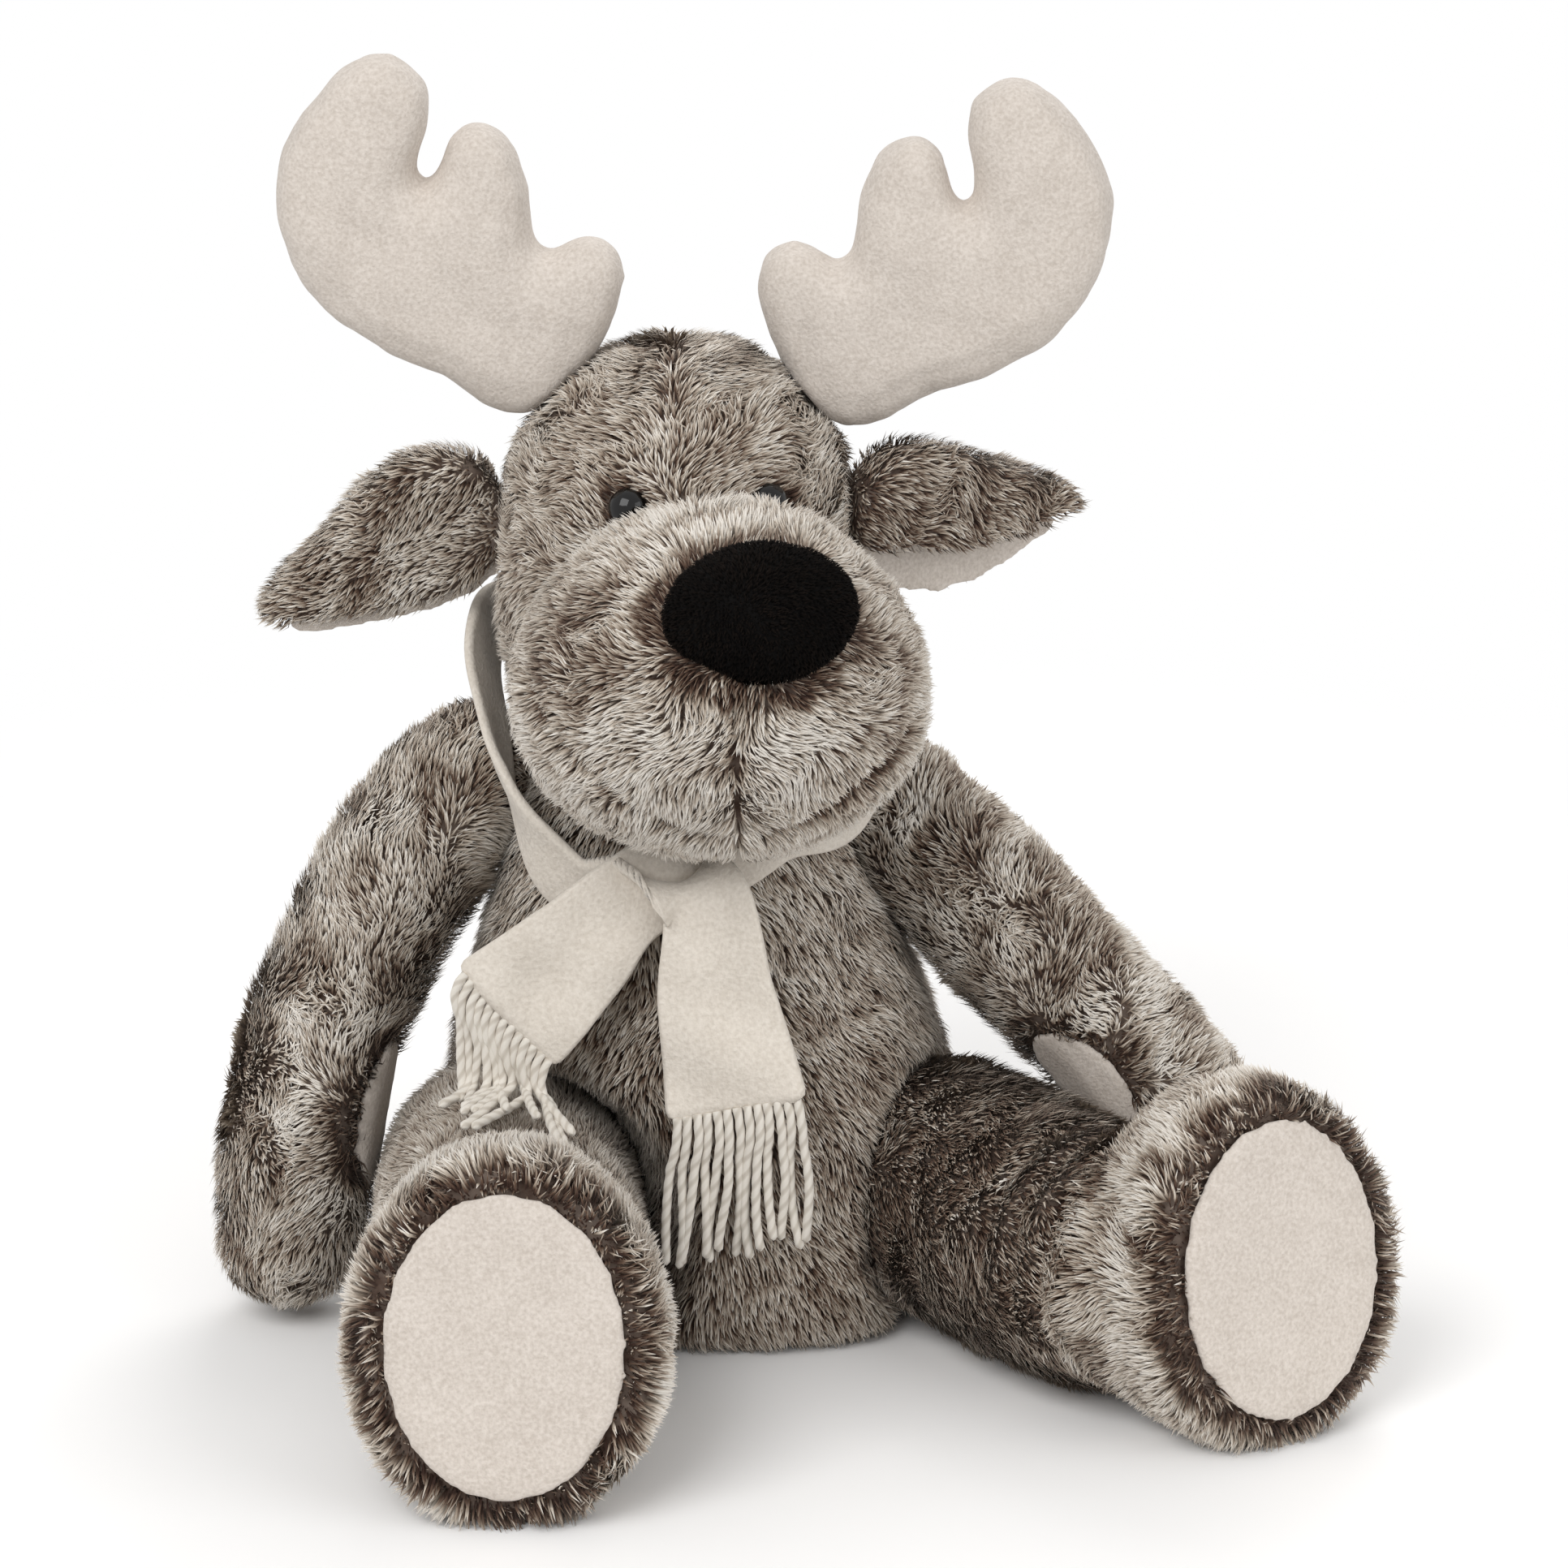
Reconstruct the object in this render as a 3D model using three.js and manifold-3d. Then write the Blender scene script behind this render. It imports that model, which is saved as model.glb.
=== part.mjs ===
// A seated plush moose: stuffed fur covers with their fibre fillings, suede antlers, ear linings,
// palm pads and soles, a black nose, two safety eyes, and a fleece scarf with yarn fringes.
// Millimetres, +Z up. The toy sits on z = 0 and faces -Y, so its own right is -X.
// The origin is under the middle of the seat.

import * as THREE from 'three'
import { mergeVertices } from 'three/addons/utils/BufferGeometryUtils.js'
import Module from 'manifold-3d'

const wasm = await Module()
wasm.setup()

// Cloth thicknesses and gaps
const pile = 8 // fur cloth with its pile pressed as it lies
const suede = 2.5 // short-pile cloth of antlers, linings, pads and soles
const fit = 0.3 // gap between a piece and its neighbour
const overrun = 6 // how far a cutter runs past what it cuts
const seatCut = 0.5 // depth of the flat where a stuffed form rests

// Torso
const torsoHeight = 204
const torsoWidth = 192
const torsoDepth = 182
const torsoSquareShare = 0.1 // how much the seat fills out towards its four corners
const neckLean = -9 // sideways place of the neck over the seat
const torsoShares = [
  [0, 0], [0, 0.87], [0.03, 0.96], [0.1, 1], [0.24, 1], [0.4, 0.93],
  [0.58, 0.8], [0.76, 0.69], [0.9, 0.61], [1, 0.5], [1, 0],
] // height, radius
const pelletBagRadius = 38
const pelletBagHeight = 28
const pelletBagSide = 4
const pelletBagBack = 34 // behind the hips, where the toy's weight rests
const bagShares = [[0, 0], [0, 0.8], [0.22, 0.98], [0.5, 0.9], [0.85, 0.5], [1, 0]]

// Head, a stuffed form turned about the neck
const headWidth = 128
const headHeight = 143
const headShares = [
  [0, 0], [0, 0.68], [0.08, 0.85], [0.2, 0.95], [0.36, 1], [0.52, 0.985], [0.68, 0.93],
  [0.8, 0.81], [0.89, 0.63], [0.96, 0.38], [1, 0],
]

// Muzzle and nose
const muzzleWidth = 140
const muzzleDepth = 130
const muzzleHeight = 119
const muzzleSide = 15 // sideways from the neck's middle, because the head is turned a little
const muzzleReach = 72 // forward from the neck's middle
const muzzleRise = 41 // above the neck
const muzzleTaperShare = 0.1
const neckClearRadius = 77 // inside this the chin keeps clear of the chest and the scarf
const noseWidth = 63
const noseHeight = 46
const noseThick = 22
const noseSide = 14 // from the muzzle's middle
const noseReach = 49
const noseRise = 36
const nosePitch = 41 // degrees that it looks up
const noseYaw = 13 // degrees towards +X
const noseRoll = -9

// Eyes: domed buttons with a stem through the face and a lock washer behind it
const eyeRadius = 7
const eyeDome = 5.5
const eyeStemRadius = 1.8
const eyeStemLength = 13
const eyeSpread = 24 // either side of the face's middle
const eyeMiddle = 8 // sideways from the neck's middle
const eyeRise = 96 // above the neck
const eyePitch = 12
const washerRadius = 8
const washerThick = 1.6
const washerHole = 0.1 // clearance round the stem

// Antlers, cut from one outline: shares of width outwards, and of height
const antlerWidth = 122
const antlerHeight = 129
const antlerThick = 31
const antlerEdge = 7 // how far the stuffing rounds the edge in
const antlerOutlineShares = [
  [0.652, 1], [0.545, 0.9], [0.575, 0.78], [0.595, 0.69], [0.57, 0.632], [0.522, 0.69],
  [0.491, 0.781], [0.426, 0.82], [0.332, 0.788], [0.282, 0.684], [0.262, 0.49], [0.222, 0.452],
  [0.162, 0.484], [0.078, 0.502], [0.006, 0.439], [0.018, 0.319], [0.1, 0.17], [0.2, 0.03],
  [0.36, 0.02], [0.5, 0.115], [0.7, 0.195], [0.885, 0.326], [0.985, 0.52], [0.985, 0.72],
  [0.88, 0.88], [0.765, 0.975],
]
const antlerSpread = { right: -17, left: 22.5 } // inner edge, sideways from the neck's middle
const antlerFoot = { right: 112, left: 111.5 } // lowest point above the neck
const antlerTilt = { right: 0, left: -5 } // degrees
const antlerBack = 2

// Ears: a leaf folded along its top edge, open below, round at the root where it turns
const earRoot = 27
const earLength = 72
const earThick = 24
const earEdge = 6
const earWall = 7
const liningShown = 2 // of the lining below the ear's furry front
const earUpperShares = [[0.25, 0.9], [0.5, 0.64], [0.75, 0.42], [0.93, 0.22], [1, 0]] // length, root
const earLowerShares = {
  right: [[0.25, 0.93], [0.5, 0.7], [0.75, 0.44], [0.93, 0.2]],
  left: [[0.25, 1.12], [0.5, 1], [0.75, 0.66], [0.93, 0.3]],
}
const earFlapShare = { right: 1, left: 0.42 } // how far down the front comes, of the lower edge
const earSpread = { right: -84, left: 79 }
const earRise = { right: 77, left: 79 }
const earDroopAngle = { right: 27, left: 2 } // degrees below level
const earYaw = { right: 8, left: -30 } // degrees forward

// Arms: a chain of stuffed sections from the shoulder to the hand
const shoulderRadius = 26
const shoulderSpread = { right: -80, left: 60 }
const shoulderBack = 4
const shoulderRise = { right: 187, left: 178 }
const armLength = 185 // from the shoulder to the middle of the hand
const armPlaceShares = {
  right: [
    [0, 0, 0], [-0.09, -0.04, -0.08], [-0.19, -0.09, -0.23], [-0.31, -0.18, -0.475],
    [-0.35, -0.24, -0.68], [-0.378, -0.28, -0.875],
  ],
  left: [
    [0, 0, 0], [0.13, -0.03, -0.12], [0.29, -0.06, -0.28], [0.47, -0.075, -0.47],
    [0.573, -0.085, -0.595], [0.66, -0.108, -0.724],
  ],
}
const armRadiusShares = [1, 1.08, 1.1, 1.06, 1.14, 0.96]
const handTipShare = 0.8
const palmPadLength = 56
const palmPadWidth = 30
const palmPadPlaceShares = { right: 0.72, left: 0.62 } // along the arm
const palmPadTurn = { right: -80, left: 38 } // degrees round the arm from its front

// Legs: stuffed sections from the hip, then a foot with a flat sole
const thighRadius = 45
const hipSpread = { right: -71, left: 81 }
const hipReach = 32
const legLength = 180 // from the hip to the sole of a straight leg
const legPlaceShares = {
  right: [[0, 0, 0], [0.01, -0.2, 0], [0.03, -0.42, 0.01], [0.045, -0.655, 0.04]],
  left: [[0, 0, 0], [0.135, -0.16, 0], [0.29, -0.385, 0.01], [0.425, -0.48, 0.03]],
} // along the stuffed line, of the leg's length
const legRadiusShares = [1, 1.02, 1, 0.97]
const legSplay = { right: -4, left: 45 } // degrees outwards, of the line that a leg rolls about
const legPitch = 4
const hipFlare = 15 // how much a hip's dimple widens forwards
const footPlaceShares = { right: [0.05, -1, 0.095], left: [0.63, -0.66, 0.095] } // the sole's middle
const footYaw = { right: 0, left: 30 } // degrees outwards
const footLean = { right: 8, left: 10 } // degrees that the toes tip back
const footWidth = 104
const footHeight = 127
const footDepth = 68
const footTaperShare = 0.07
const footShares = [
  [0, 0], [0, 0.8], [0.05, 0.94], [0.2, 1], [0.45, 0.99], [0.7, 0.88], [0.9, 0.6], [1, 0],
] // depth from the sole, radius
const ankleDepth = 50 // behind the sole, where the foot's cover is sewn to the leg's
const soleWidth = 80
const soleHeight = 105
const soleProud = 1.2
const soleShares = [[0, 0], [0, 0.94], [0.35, 1], [0.7, 1], [1, 0.88], [1, 0]] // depth, radius

// Scarf: one strip of fleece round the neck, crossed under the chin
const fleece = 4.5
const scarfWidth = 50
const scarfGather = 21 // width where it goes round the neck
const scarfRadius = 69.1 // middle of the cloth
const scarfFrontShare = 0.804 // of the torso's height
const scarfBackShare = 1.172
const scarfRiseShares = {
  right: [0, 0, 0.43, 0.95, 0.98, 1, 1],
  left: [0, 0.3, 0.34, 0.84, 0.97, 1, 1],
} // climb at even steps from the front to the back
const bandLeanShare = 0.45 // how much the band leans out as it comes forward
const tailPlaceShares = {
  lower: { top: [-0.1, -0.3845, 0.835], foot: [-0.333, -0.44, 0.627], turn: 32 },
  upper: { top: [-0.01, -0.42, 0.848], foot: [0.059, -0.5, 0.485], turn: -17 },
} // of the torso's height, which the tails hang down
const tailGatherShare = 0.36 // how much a tail is drawn in at the crossing
const yarnRadius = 1.5
const yarnCount = 13
const yarnPlaceShares = [0, 0.34, 0.67, 1]
const fringeLength = 52
const fringeFan = 12 // how much wider a fringe is at its ends
const lapClearance = 5.8 // of the yarns that lie on a thigh
const hemThick = 3.2
const hemDepth = 5

const degrees = Math.PI / 180
const sides = { right: -1, left: 1 }
const neckZ = torsoHeight
const neck = new THREE.Vector3(neckLean, 0, neckZ)
const muzzleMiddle = new THREE.Vector3(neck.x + muzzleSide, -muzzleReach, neckZ + muzzleRise)
const shoulderPlace = (side) => new THREE.Vector3(shoulderSpread[side], shoulderBack, shoulderRise[side])
const hipPlace = (side) => new THREE.Vector3(hipSpread[side], -hipReach, thighRadius - seatCut)

// Counts of facets
const around = 20
const aroundInside = 12
const aroundDimple = 14
const aroundHip = 20
const aroundLeg = 16
const aroundLimb = 12
const aroundButton = 12
const aroundSole = 18
const aroundYarn = 4
const antlerCorners = 34
const aroundNose = 16
const earRootSteps = 6
const bandSteps = 12 // round the neck

/** A closed three.js geometry as a solid that can be joined and cut, its faces pointing out. */
function solid(geometry) {
  const shape = geometry.clone()
  shape.deleteAttribute('normal')
  shape.deleteAttribute('uv')
  const merged = mergeVertices(shape)
  const place = merged.attributes.position.array
  const corners = []
  for (let i = 0; i < merged.index.count; i += 3) {
    const [a, b, c] = [0, 1, 2].map((k) => merged.index.getX(i + k))
    if (a !== b && b !== c && c !== a) corners.push([a, b, c])
  }
  const at = (i) => new THREE.Vector3().fromArray(place, 3 * i)
  const volume = corners.reduce((sum, [a, b, c]) => sum + at(a).dot(at(b).cross(at(c))), 0)
  const faces = volume < 0 ? corners.map(([a, b, c]) => [a, c, b]) : corners
  return new wasm.Manifold(new wasm.Mesh({
    numProp: 3,
    vertProperties: new Float32Array(place),
    triVerts: new Uint32Array(faces.flat()),
  }))
}

/** A solid's facets as a three.js geometry. */
function facets(body) {
  const mesh = body.getMesh()
  const geometry = new THREE.BufferGeometry()
  geometry.setAttribute('position', new THREE.BufferAttribute(mesh.vertProperties, 3))
  geometry.setIndex(new THREE.BufferAttribute(mesh.triVerts, 1))
  geometry.computeVertexNormals()
  return geometry
}

const moved = (body, matrix) => body.transform(matrix.elements)

/** The matrix of a place and turns in degrees about X, then Y, then Z. */
function frameAt(place, x = 0, y = 0, z = 0) {
  const turn = new THREE.Euler(x * degrees, y * degrees, z * degrees, 'ZYX')
  const matrix = new THREE.Matrix4().makeRotationFromEuler(turn)
  return matrix.setPosition(place)
}

/** A block that holds everything below z = 0. */
function belowFloor() {
  const wide = 4 * torsoWidth
  return solid(new THREE.BoxGeometry(wide, wide, overrun).translate(0, 0, -overrun / 2))
}

/**
 * A body turned about +Z through [height, radius] shares, standing on z = 0.
 * Drawn in by inset all round. drop and lift carry its two ends on, straight.
 */
function turned(shares, height, radius, { inset = 0, count, steps, drop = 0, lift = 0 }) {
  const tall = height - 2 * inset
  const wide = radius - inset
  const inner = shares.slice(1, -1).map(([h, r]) => new THREE.Vector2(r * wide, inset + h * tall))
  const side = new THREE.SplineCurve(inner).getPoints(steps)
  if (drop > 0) side.unshift(side[0].clone().setY(inset - drop))
  const top = inset + tall + lift
  if (lift > 0) side.push(side.at(-1).clone().setY(top))
  const profile = [side[0].clone().setX(0), ...side, new THREE.Vector2(0, top)]
  return new THREE.LatheGeometry(profile, count).rotateX(Math.PI / 2)
}

/** A closed body through rings of equal count, with a fan to a point at each end. */
function lofted(rings, start, end) {
  const count = rings[0].length
  const points = [...rings.flat(), start, end]
  const index = []
  rings.slice(1).forEach((_, row) => {
    for (let k = 0; k < count; k += 1) {
      const a = row * count + k
      const b = row * count + ((k + 1) % count)
      index.push(a, b, b + count, a, b + count, a + count)
    }
  })
  const last = (rings.length - 1) * count
  for (let k = 0; k < count; k += 1) {
    const next = (k + 1) % count
    index.push(points.length - 2, next, k, points.length - 1, last + k, last + next)
  }
  const geometry = new THREE.BufferGeometry().setFromPoints(points)
  return geometry.setIndex(index)
}

/** Rings of a round limb along a smooth line through places, its ends rounded. */
function limb(places, radii, { inset = 0, count, steps, caps, tipShare = 1, across }) {
  const line = new THREE.CatmullRomCurve3(places)
  const sizes = new THREE.SplineCurve(radii.map((r, i) => new THREE.Vector2(i / (radii.length - 1), r)))
  const ring = (centre, along, radius) => {
    const side = new THREE.Vector3().crossVectors(along, across).normalize()
    const front = new THREE.Vector3().crossVectors(side, along).normalize()
    return Array.from({ length: count }, (_, k) => {
      const angle = (2 * Math.PI * k) / count
      const reach = side.clone().multiplyScalar(radius * Math.cos(angle))
      return centre.clone().add(reach).addScaledVector(front, radius * Math.sin(angle))
    })
  }
  const firstWay = line.getTangent(0)
  const lastWay = line.getTangent(1)
  const rootRadius = radii[0] - inset
  const tipRadius = radii.at(-1) - inset
  const rings = []
  for (let k = 1; k < caps; k += 1) {
    const angle = (Math.PI / 2) * (k / caps)
    const centre = places[0].clone().addScaledVector(firstWay, -rootRadius * Math.cos(angle))
    rings.push(ring(centre, firstWay, rootRadius * Math.sin(angle)))
  }
  for (let k = 0; k <= steps; k += 1) {
    const t = k / steps
    rings.push(ring(line.getPoint(t), line.getTangent(t), sizes.getPoint(t).y - inset))
  }
  for (let k = 1; k < caps; k += 1) {
    const angle = (Math.PI / 2) * (k / caps)
    const centre = places.at(-1).clone().addScaledVector(lastWay, tipShare * tipRadius * Math.sin(angle))
    rings.push(ring(centre, lastWay, tipRadius * Math.cos(angle)))
  }
  const start = places[0].clone().addScaledVector(firstWay, -rootRadius)
  const end = places.at(-1).clone().addScaledVector(lastWay, tipShare * tipRadius)
  return lofted(rings, start, end)
}

/** Places from a table of shares of one size, from a start. */
const placed = (shares, size, start = new THREE.Vector3()) =>
  shares.map((share) => new THREE.Vector3(...share).multiplyScalar(size).add(start))

/** A radius for a faceted round cutter, so that its flats still clear the round form in it. */
const clearing = (radius, count) => radius / Math.cos(Math.PI / count) ** 2

// Shoulders, hips and ears seat in round dimples, which are cut from the larger form.

/** The ball in which a shoulder turns, and the hollow that the hanging arm presses in. */
function shoulderDimple(side, grow) {
  const radius = clearing(shoulderRadius + grow, aroundDimple)
  const ball = new THREE.SphereGeometry(radius, aroundDimple, aroundDimple / 2)
  const hanging = solid(armForm(side, -grow - fit, false))
  return solid(ball.translate(...shoulderPlace(side).toArray())).add(hanging)
}

/** The frame of a hip, whose -Y' is the line that the leg rolls about. */
const legFrame = (side) =>
  frameAt(hipPlace(side), -legPitch, 0, sides[side] * legSplay[side])

/** The space that a thigh rolls in: round behind the hip, a widening bore ahead of it. */
function hipDimple(side, grow) {
  const radius = clearing(thighRadius + grow, aroundHip)
  const arc = [0, 0.2, 0.4, 0.6, 0.8, 1].map((share) => {
    const angle = share * (Math.PI / 2)
    return new THREE.Vector2(radius * Math.sin(angle), -radius * Math.cos(angle))
  })
  const mouth = new THREE.Vector2(radius + 2 * hipFlare, 2 * thighRadius)
  const profile = [...arc, mouth, new THREE.Vector2(0, mouth.y)]
  const bore = new THREE.LatheGeometry(profile, aroundHip).rotateZ(Math.PI)
  return solid(bore.applyMatrix4(legFrame(side)))
}

/** The torso's form, leaned to the neck, with the dimples of the limbs. */
function torsoForm({ inset = 0, inside = false, lift = 0 }) {
  const count = inside ? aroundInside : around
  const steps = inside ? 6 : 10
  const drop = inset === 0 ? seatCut : 0
  const radius = torsoWidth / 2
  const form = turned(torsoShares, torsoHeight - fit / 2, radius, { inset, count, steps, drop, lift })
  const place = form.attributes.position
  for (let i = 0; i < place.count; i += 1) {
    const corner = Math.sin(2 * Math.atan2(place.getY(i), place.getX(i))) ** 2
    const fuller = 1 + torsoSquareShare * corner * Math.max(0, 1 - place.getZ(i) / torsoHeight)
    place.setXY(i, place.getX(i) * fuller, place.getY(i) * fuller)
  }
  form.scale(1, (torsoDepth / 2 - inset) / (radius - inset), 1)
  form.applyMatrix4(new THREE.Matrix4().makeShear(0, 0, 0, 0, neckLean / torsoHeight, 0))
  let body = solid(form)
  Object.keys(sides).forEach((side) => {
    body = body.subtract(shoulderDimple(side, inset + fit)).subtract(hipDimple(side, inset + fit))
  })
  return body.subtract(belowFloor())
}

/** The seat's bag of pellets, which lies on the cover's floor. */
function pelletBag(grow) {
  const radius = pelletBagRadius + grow
  const shape = turned(bagShares, pelletBagHeight + 2 * grow, radius, { count: aroundInside, steps: 6 })
  return solid(shape.translate(pelletBagSide, pelletBagBack, pile + fit - grow))
}

/** The ear's own frame: -Y' is its furry front, X' runs from root to tip. */
function earFrame(side) {
  const place = new THREE.Vector3(neckLean + earSpread[side], 0, neckZ + earRise[side])
  const matrix = frameAt(place, 0, 0, sides[side] * earYaw[side] * -1)
  const droop = new THREE.Matrix4().makeRotationY(sides[side] * earDroopAngle[side] * degrees)
  return matrix.multiply(droop).multiply(new THREE.Matrix4().makeScale(sides[side], 1, 1))
}

/** The round slot in which an ear's root turns. */
function earDimple(side, grow) {
  const radius = clearing(earRoot + grow, aroundDimple)
  const slot = new THREE.CylinderGeometry(radius, radius, earThick + 2 * grow, aroundDimple)
  return solid(slot.applyMatrix4(earFrame(side)))
}

/** The head's form, turned about the neck, with the dimples of the ears. */
function headForm({ inset = 0, inside = false, grow = 0, open = 0 }) {
  const count = inside ? aroundInside : around
  const steps = inside ? 7 : 10
  const form = turned(headShares, headHeight, headWidth / 2, {
    inset: inset - grow, count, steps, drop: open + (inside ? pile : 0),
  })
  let body = solid(form.translate(neck.x, neck.y, neck.z + fit / 2))
  if (grow === 0) {
    Object.keys(sides).forEach((side) => {
      body = body.subtract(earDimple(side, inset + fit))
    })
  }
  return body
}

/** A muzzle that narrows a little upwards, before the head is cut from it. */
function muzzleForm(inset, count) {
  const ball = new THREE.SphereGeometry(1, count, count / 2 + 2).rotateX(Math.PI / 2)
  const place = ball.attributes.position
  for (let i = 0; i < place.count; i += 1) {
    place.setX(i, place.getX(i) * (1 - muzzleTaperShare * place.getZ(i)))
  }
  ball.scale(muzzleWidth / 2 - inset, muzzleDepth / 2 - inset, muzzleHeight / 2 - inset)
  return solid(ball.translate(...muzzleMiddle.toArray()))
}

/** The room over the chest in which the chin's underside turns, round the neck's line. */
function neckBlock(grow = 0) {
  const radius = clearing(neckClearRadius + grow, aroundDimple)
  const disc = new THREE.CylinderGeometry(radius, radius, muzzleHeight, aroundDimple)
  disc.rotateX(Math.PI / 2).translate(neck.x, neck.y, neckZ + fit / 2 + grow - muzzleHeight / 2)
  return solid(disc)
}

/** The nose, a flat stuffed oval on the slope of the muzzle. */
function nosePad() {
  const pad = new THREE.SphereGeometry(1, aroundNose, aroundNose / 2).scale(noseWidth / 2, noseThick / 2, noseHeight / 2)
  const place = muzzleMiddle.clone().add(new THREE.Vector3(noseSide, -noseReach, noseRise))
  const lean = frameAt(new THREE.Vector3(), 0, noseRoll, 0)
  return solid(pad.applyMatrix4(lean).applyMatrix4(frameAt(place, -nosePitch, 0, noseYaw)))
}

/** An eye's frame on the face: +Y' points out of the head. */
function eyeFrame(side) {
  const across = eyeMiddle + sides[side] * eyeSpread
  const share = eyeRise / headHeight
  const rows = headShares.slice(1, -1)
  const above = rows.findIndex(([height]) => height > share)
  const [low, high] = [rows[above - 1], rows[above]]
  const radius = (headWidth / 2) * (low[1] + ((share - low[0]) / (high[0] - low[0])) * (high[1] - low[1]))
  const ahead = -Math.sqrt(radius ** 2 - across ** 2)
  const place = new THREE.Vector3(neck.x + across, ahead, neckZ + eyeRise)
  return frameAt(place, eyePitch, 0, Math.atan2(ahead, across) / degrees - 90)
}

/** A domed eye with its stem, turned about its own axis. */
function eyeButton(grow) {
  const dome = [0, 0.25, 0.5, 0.75].map((share) => {
    const angle = share * (Math.PI / 2)
    const radius = eyeRadius + grow
    return new THREE.Vector2(radius * Math.cos(angle), (eyeDome + grow) * Math.sin(angle))
  })
  const profile = [
    new THREE.Vector2(0, -eyeStemLength - grow),
    new THREE.Vector2(eyeStemRadius + grow, -eyeStemLength - grow),
    new THREE.Vector2(eyeStemRadius + grow, -suede),
    new THREE.Vector2(eyeRadius + grow, -suede - grow),
    ...dome,
    new THREE.Vector2(0, eyeDome + grow),
  ]
  return new THREE.LatheGeometry(profile, aroundButton)
}

const eyeBody = (side, grow) => solid(eyeButton(grow).applyMatrix4(eyeFrame(side)))

/** A disc or ring about an eye's stem, from one depth to another behind the face. */
function stemDisc(side, radius, near, deep) {
  const disc = new THREE.CylinderGeometry(radius, radius, deep - near, aroundButton)
  return solid(disc.translate(0, -(near + deep) / 2, 0).applyMatrix4(eyeFrame(side)))
}

const washerDepth = pile + fit + suede / 2

/** The ring that locks an eye's stem behind the face. */
function eyeWasher(side) {
  const hole = stemDisc(side, eyeStemRadius + washerHole, washerDepth - overrun, washerDepth + overrun)
  return stemDisc(side, washerRadius, washerDepth, washerDepth + washerThick).subtract(hole)
}

/** An antler's outline as a stuffed flat form, drawn in by inset. */
function antlerForm(side, inset, points, edgeSteps) {
  const corners = antlerOutlineShares.map(([w, h]) => new THREE.Vector3(w * antlerWidth, h * antlerHeight, 0))
  const outline = new THREE.CatmullRomCurve3(corners, true).getPoints(points).slice(0, -1)
  const shape = new THREE.Shape(outline.map(({ x, y }) => new THREE.Vector2(x, y)))
  const rounding = antlerThick / 2 - inset
  const form = new THREE.ExtrudeGeometry(shape, {
    depth: fit, bevelThickness: rounding, bevelSize: antlerEdge, bevelOffset: -antlerEdge - inset,
    bevelSegments: edgeSteps,
  })
  form.translate(0, 0, -fit / 2).rotateX(Math.PI / 2).scale(sides[side], 1, 1)
  form.rotateY(-antlerTilt[side] * degrees)
  return solid(form.translate(neck.x + antlerSpread[side], antlerBack, neckZ + antlerFoot[side]))
}

/** The leaf of an ear in its own frame, drawn in by inset and moved down by drop. */
function earLeaf(side, inset, drop) {
  const radius = earRoot - inset
  const upper = earUpperShares.map(([s, w]) => [s * (earLength - inset), w * radius])
  const lower = earLowerShares[side].map(([s, w]) => [s * (earLength - inset), -w * radius]).reverse()
  const root = Array.from({ length: earRootSteps + 1 }, (_, k) => {
    const angle = (k / earRootSteps + 0.5) * Math.PI
    return [radius * Math.cos(angle), -radius * Math.sin(angle)]
  })
  const corners = [...root, ...upper, ...lower].map(([x, z]) => new THREE.Vector2(x, z))
  const shape = new THREE.Shape(corners)
  const edge = Math.max(earEdge - inset, fit)
  const thick = earThick - 2 * inset
  const form = new THREE.ExtrudeGeometry(shape, {
    depth: thick - 2 * edge, bevelThickness: edge, bevelSize: edge, bevelOffset: -edge,
    bevelSegments: inset > 0 ? 1 : 2,
  })
  return form.translate(0, 0, edge - thick / 2).rotateX(Math.PI / 2).translate(0, 0, -drop)
}

const earSolid = (side, inset, drop) => solid(earLeaf(side, inset, drop).applyMatrix4(earFrame(side)))

/** The space below an ear's front flap, where the lining of its back shows. */
function belowFlap(side) {
  const edge = [[0, 1], ...earLowerShares[side], [1, 0]].map(([s, w]) => {
    return new THREE.Vector2(s * earLength, -w * earRoot * earFlapShare[side])
  })
  const [near, far, low] = [-earRoot - overrun, earLength + overrun, -2 * earRoot]
  const shape = new THREE.Shape([
    new THREE.Vector2(near, low), new THREE.Vector2(far, low), new THREE.Vector2(far, 0),
    ...edge.reverse(), new THREE.Vector2(near, edge.at(-1).y),
  ])
  const block = new THREE.ExtrudeGeometry(shape, { depth: earThick / 2 + overrun, bevelEnabled: false })
  return solid(block.rotateX(Math.PI / 2).applyMatrix4(earFrame(side)))
}

const armPlaces = (side) => placed(armPlaceShares[side], armLength, shoulderPlace(side))

/** An arm: a stuffed limb from the round shoulder to the blunt hand. */
function armForm(side, inset, inside) {
  const radii = armRadiusShares.map((share) => share * shoulderRadius)
  const across = new THREE.Vector3(0, 1, 0)
  const options = inside ? { count: 10, steps: 5, caps: 3 } : { count: aroundLimb, steps: 7, caps: 3 }
  return limb(armPlaces(side), radii, { inset, tipShare: handTipShare, across, ...options })
}

/** A frame on the arm's skin at the palm: +Y' points out. */
function palmFrame(side) {
  const line = new THREE.CatmullRomCurve3(armPlaces(side))
  const along = line.getTangent(palmPadPlaceShares[side])
  const front = new THREE.Vector3(0, -1, 0).applyAxisAngle(along, palmPadTurn[side] * degrees)
  front.addScaledVector(along, -front.dot(along)).normalize()
  const across = new THREE.Vector3().crossVectors(front, along)
  const sizes = new THREE.SplineCurve(
    armRadiusShares.map((share, i) => new THREE.Vector2(i / (armRadiusShares.length - 1), share * shoulderRadius)),
  )
  const reach = sizes.getPoint(palmPadPlaceShares[side]).y
  const matrix = new THREE.Matrix4().makeBasis(across, front, along)
  return matrix.setPosition(line.getPoint(palmPadPlaceShares[side]).addScaledVector(front, reach))
}

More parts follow.
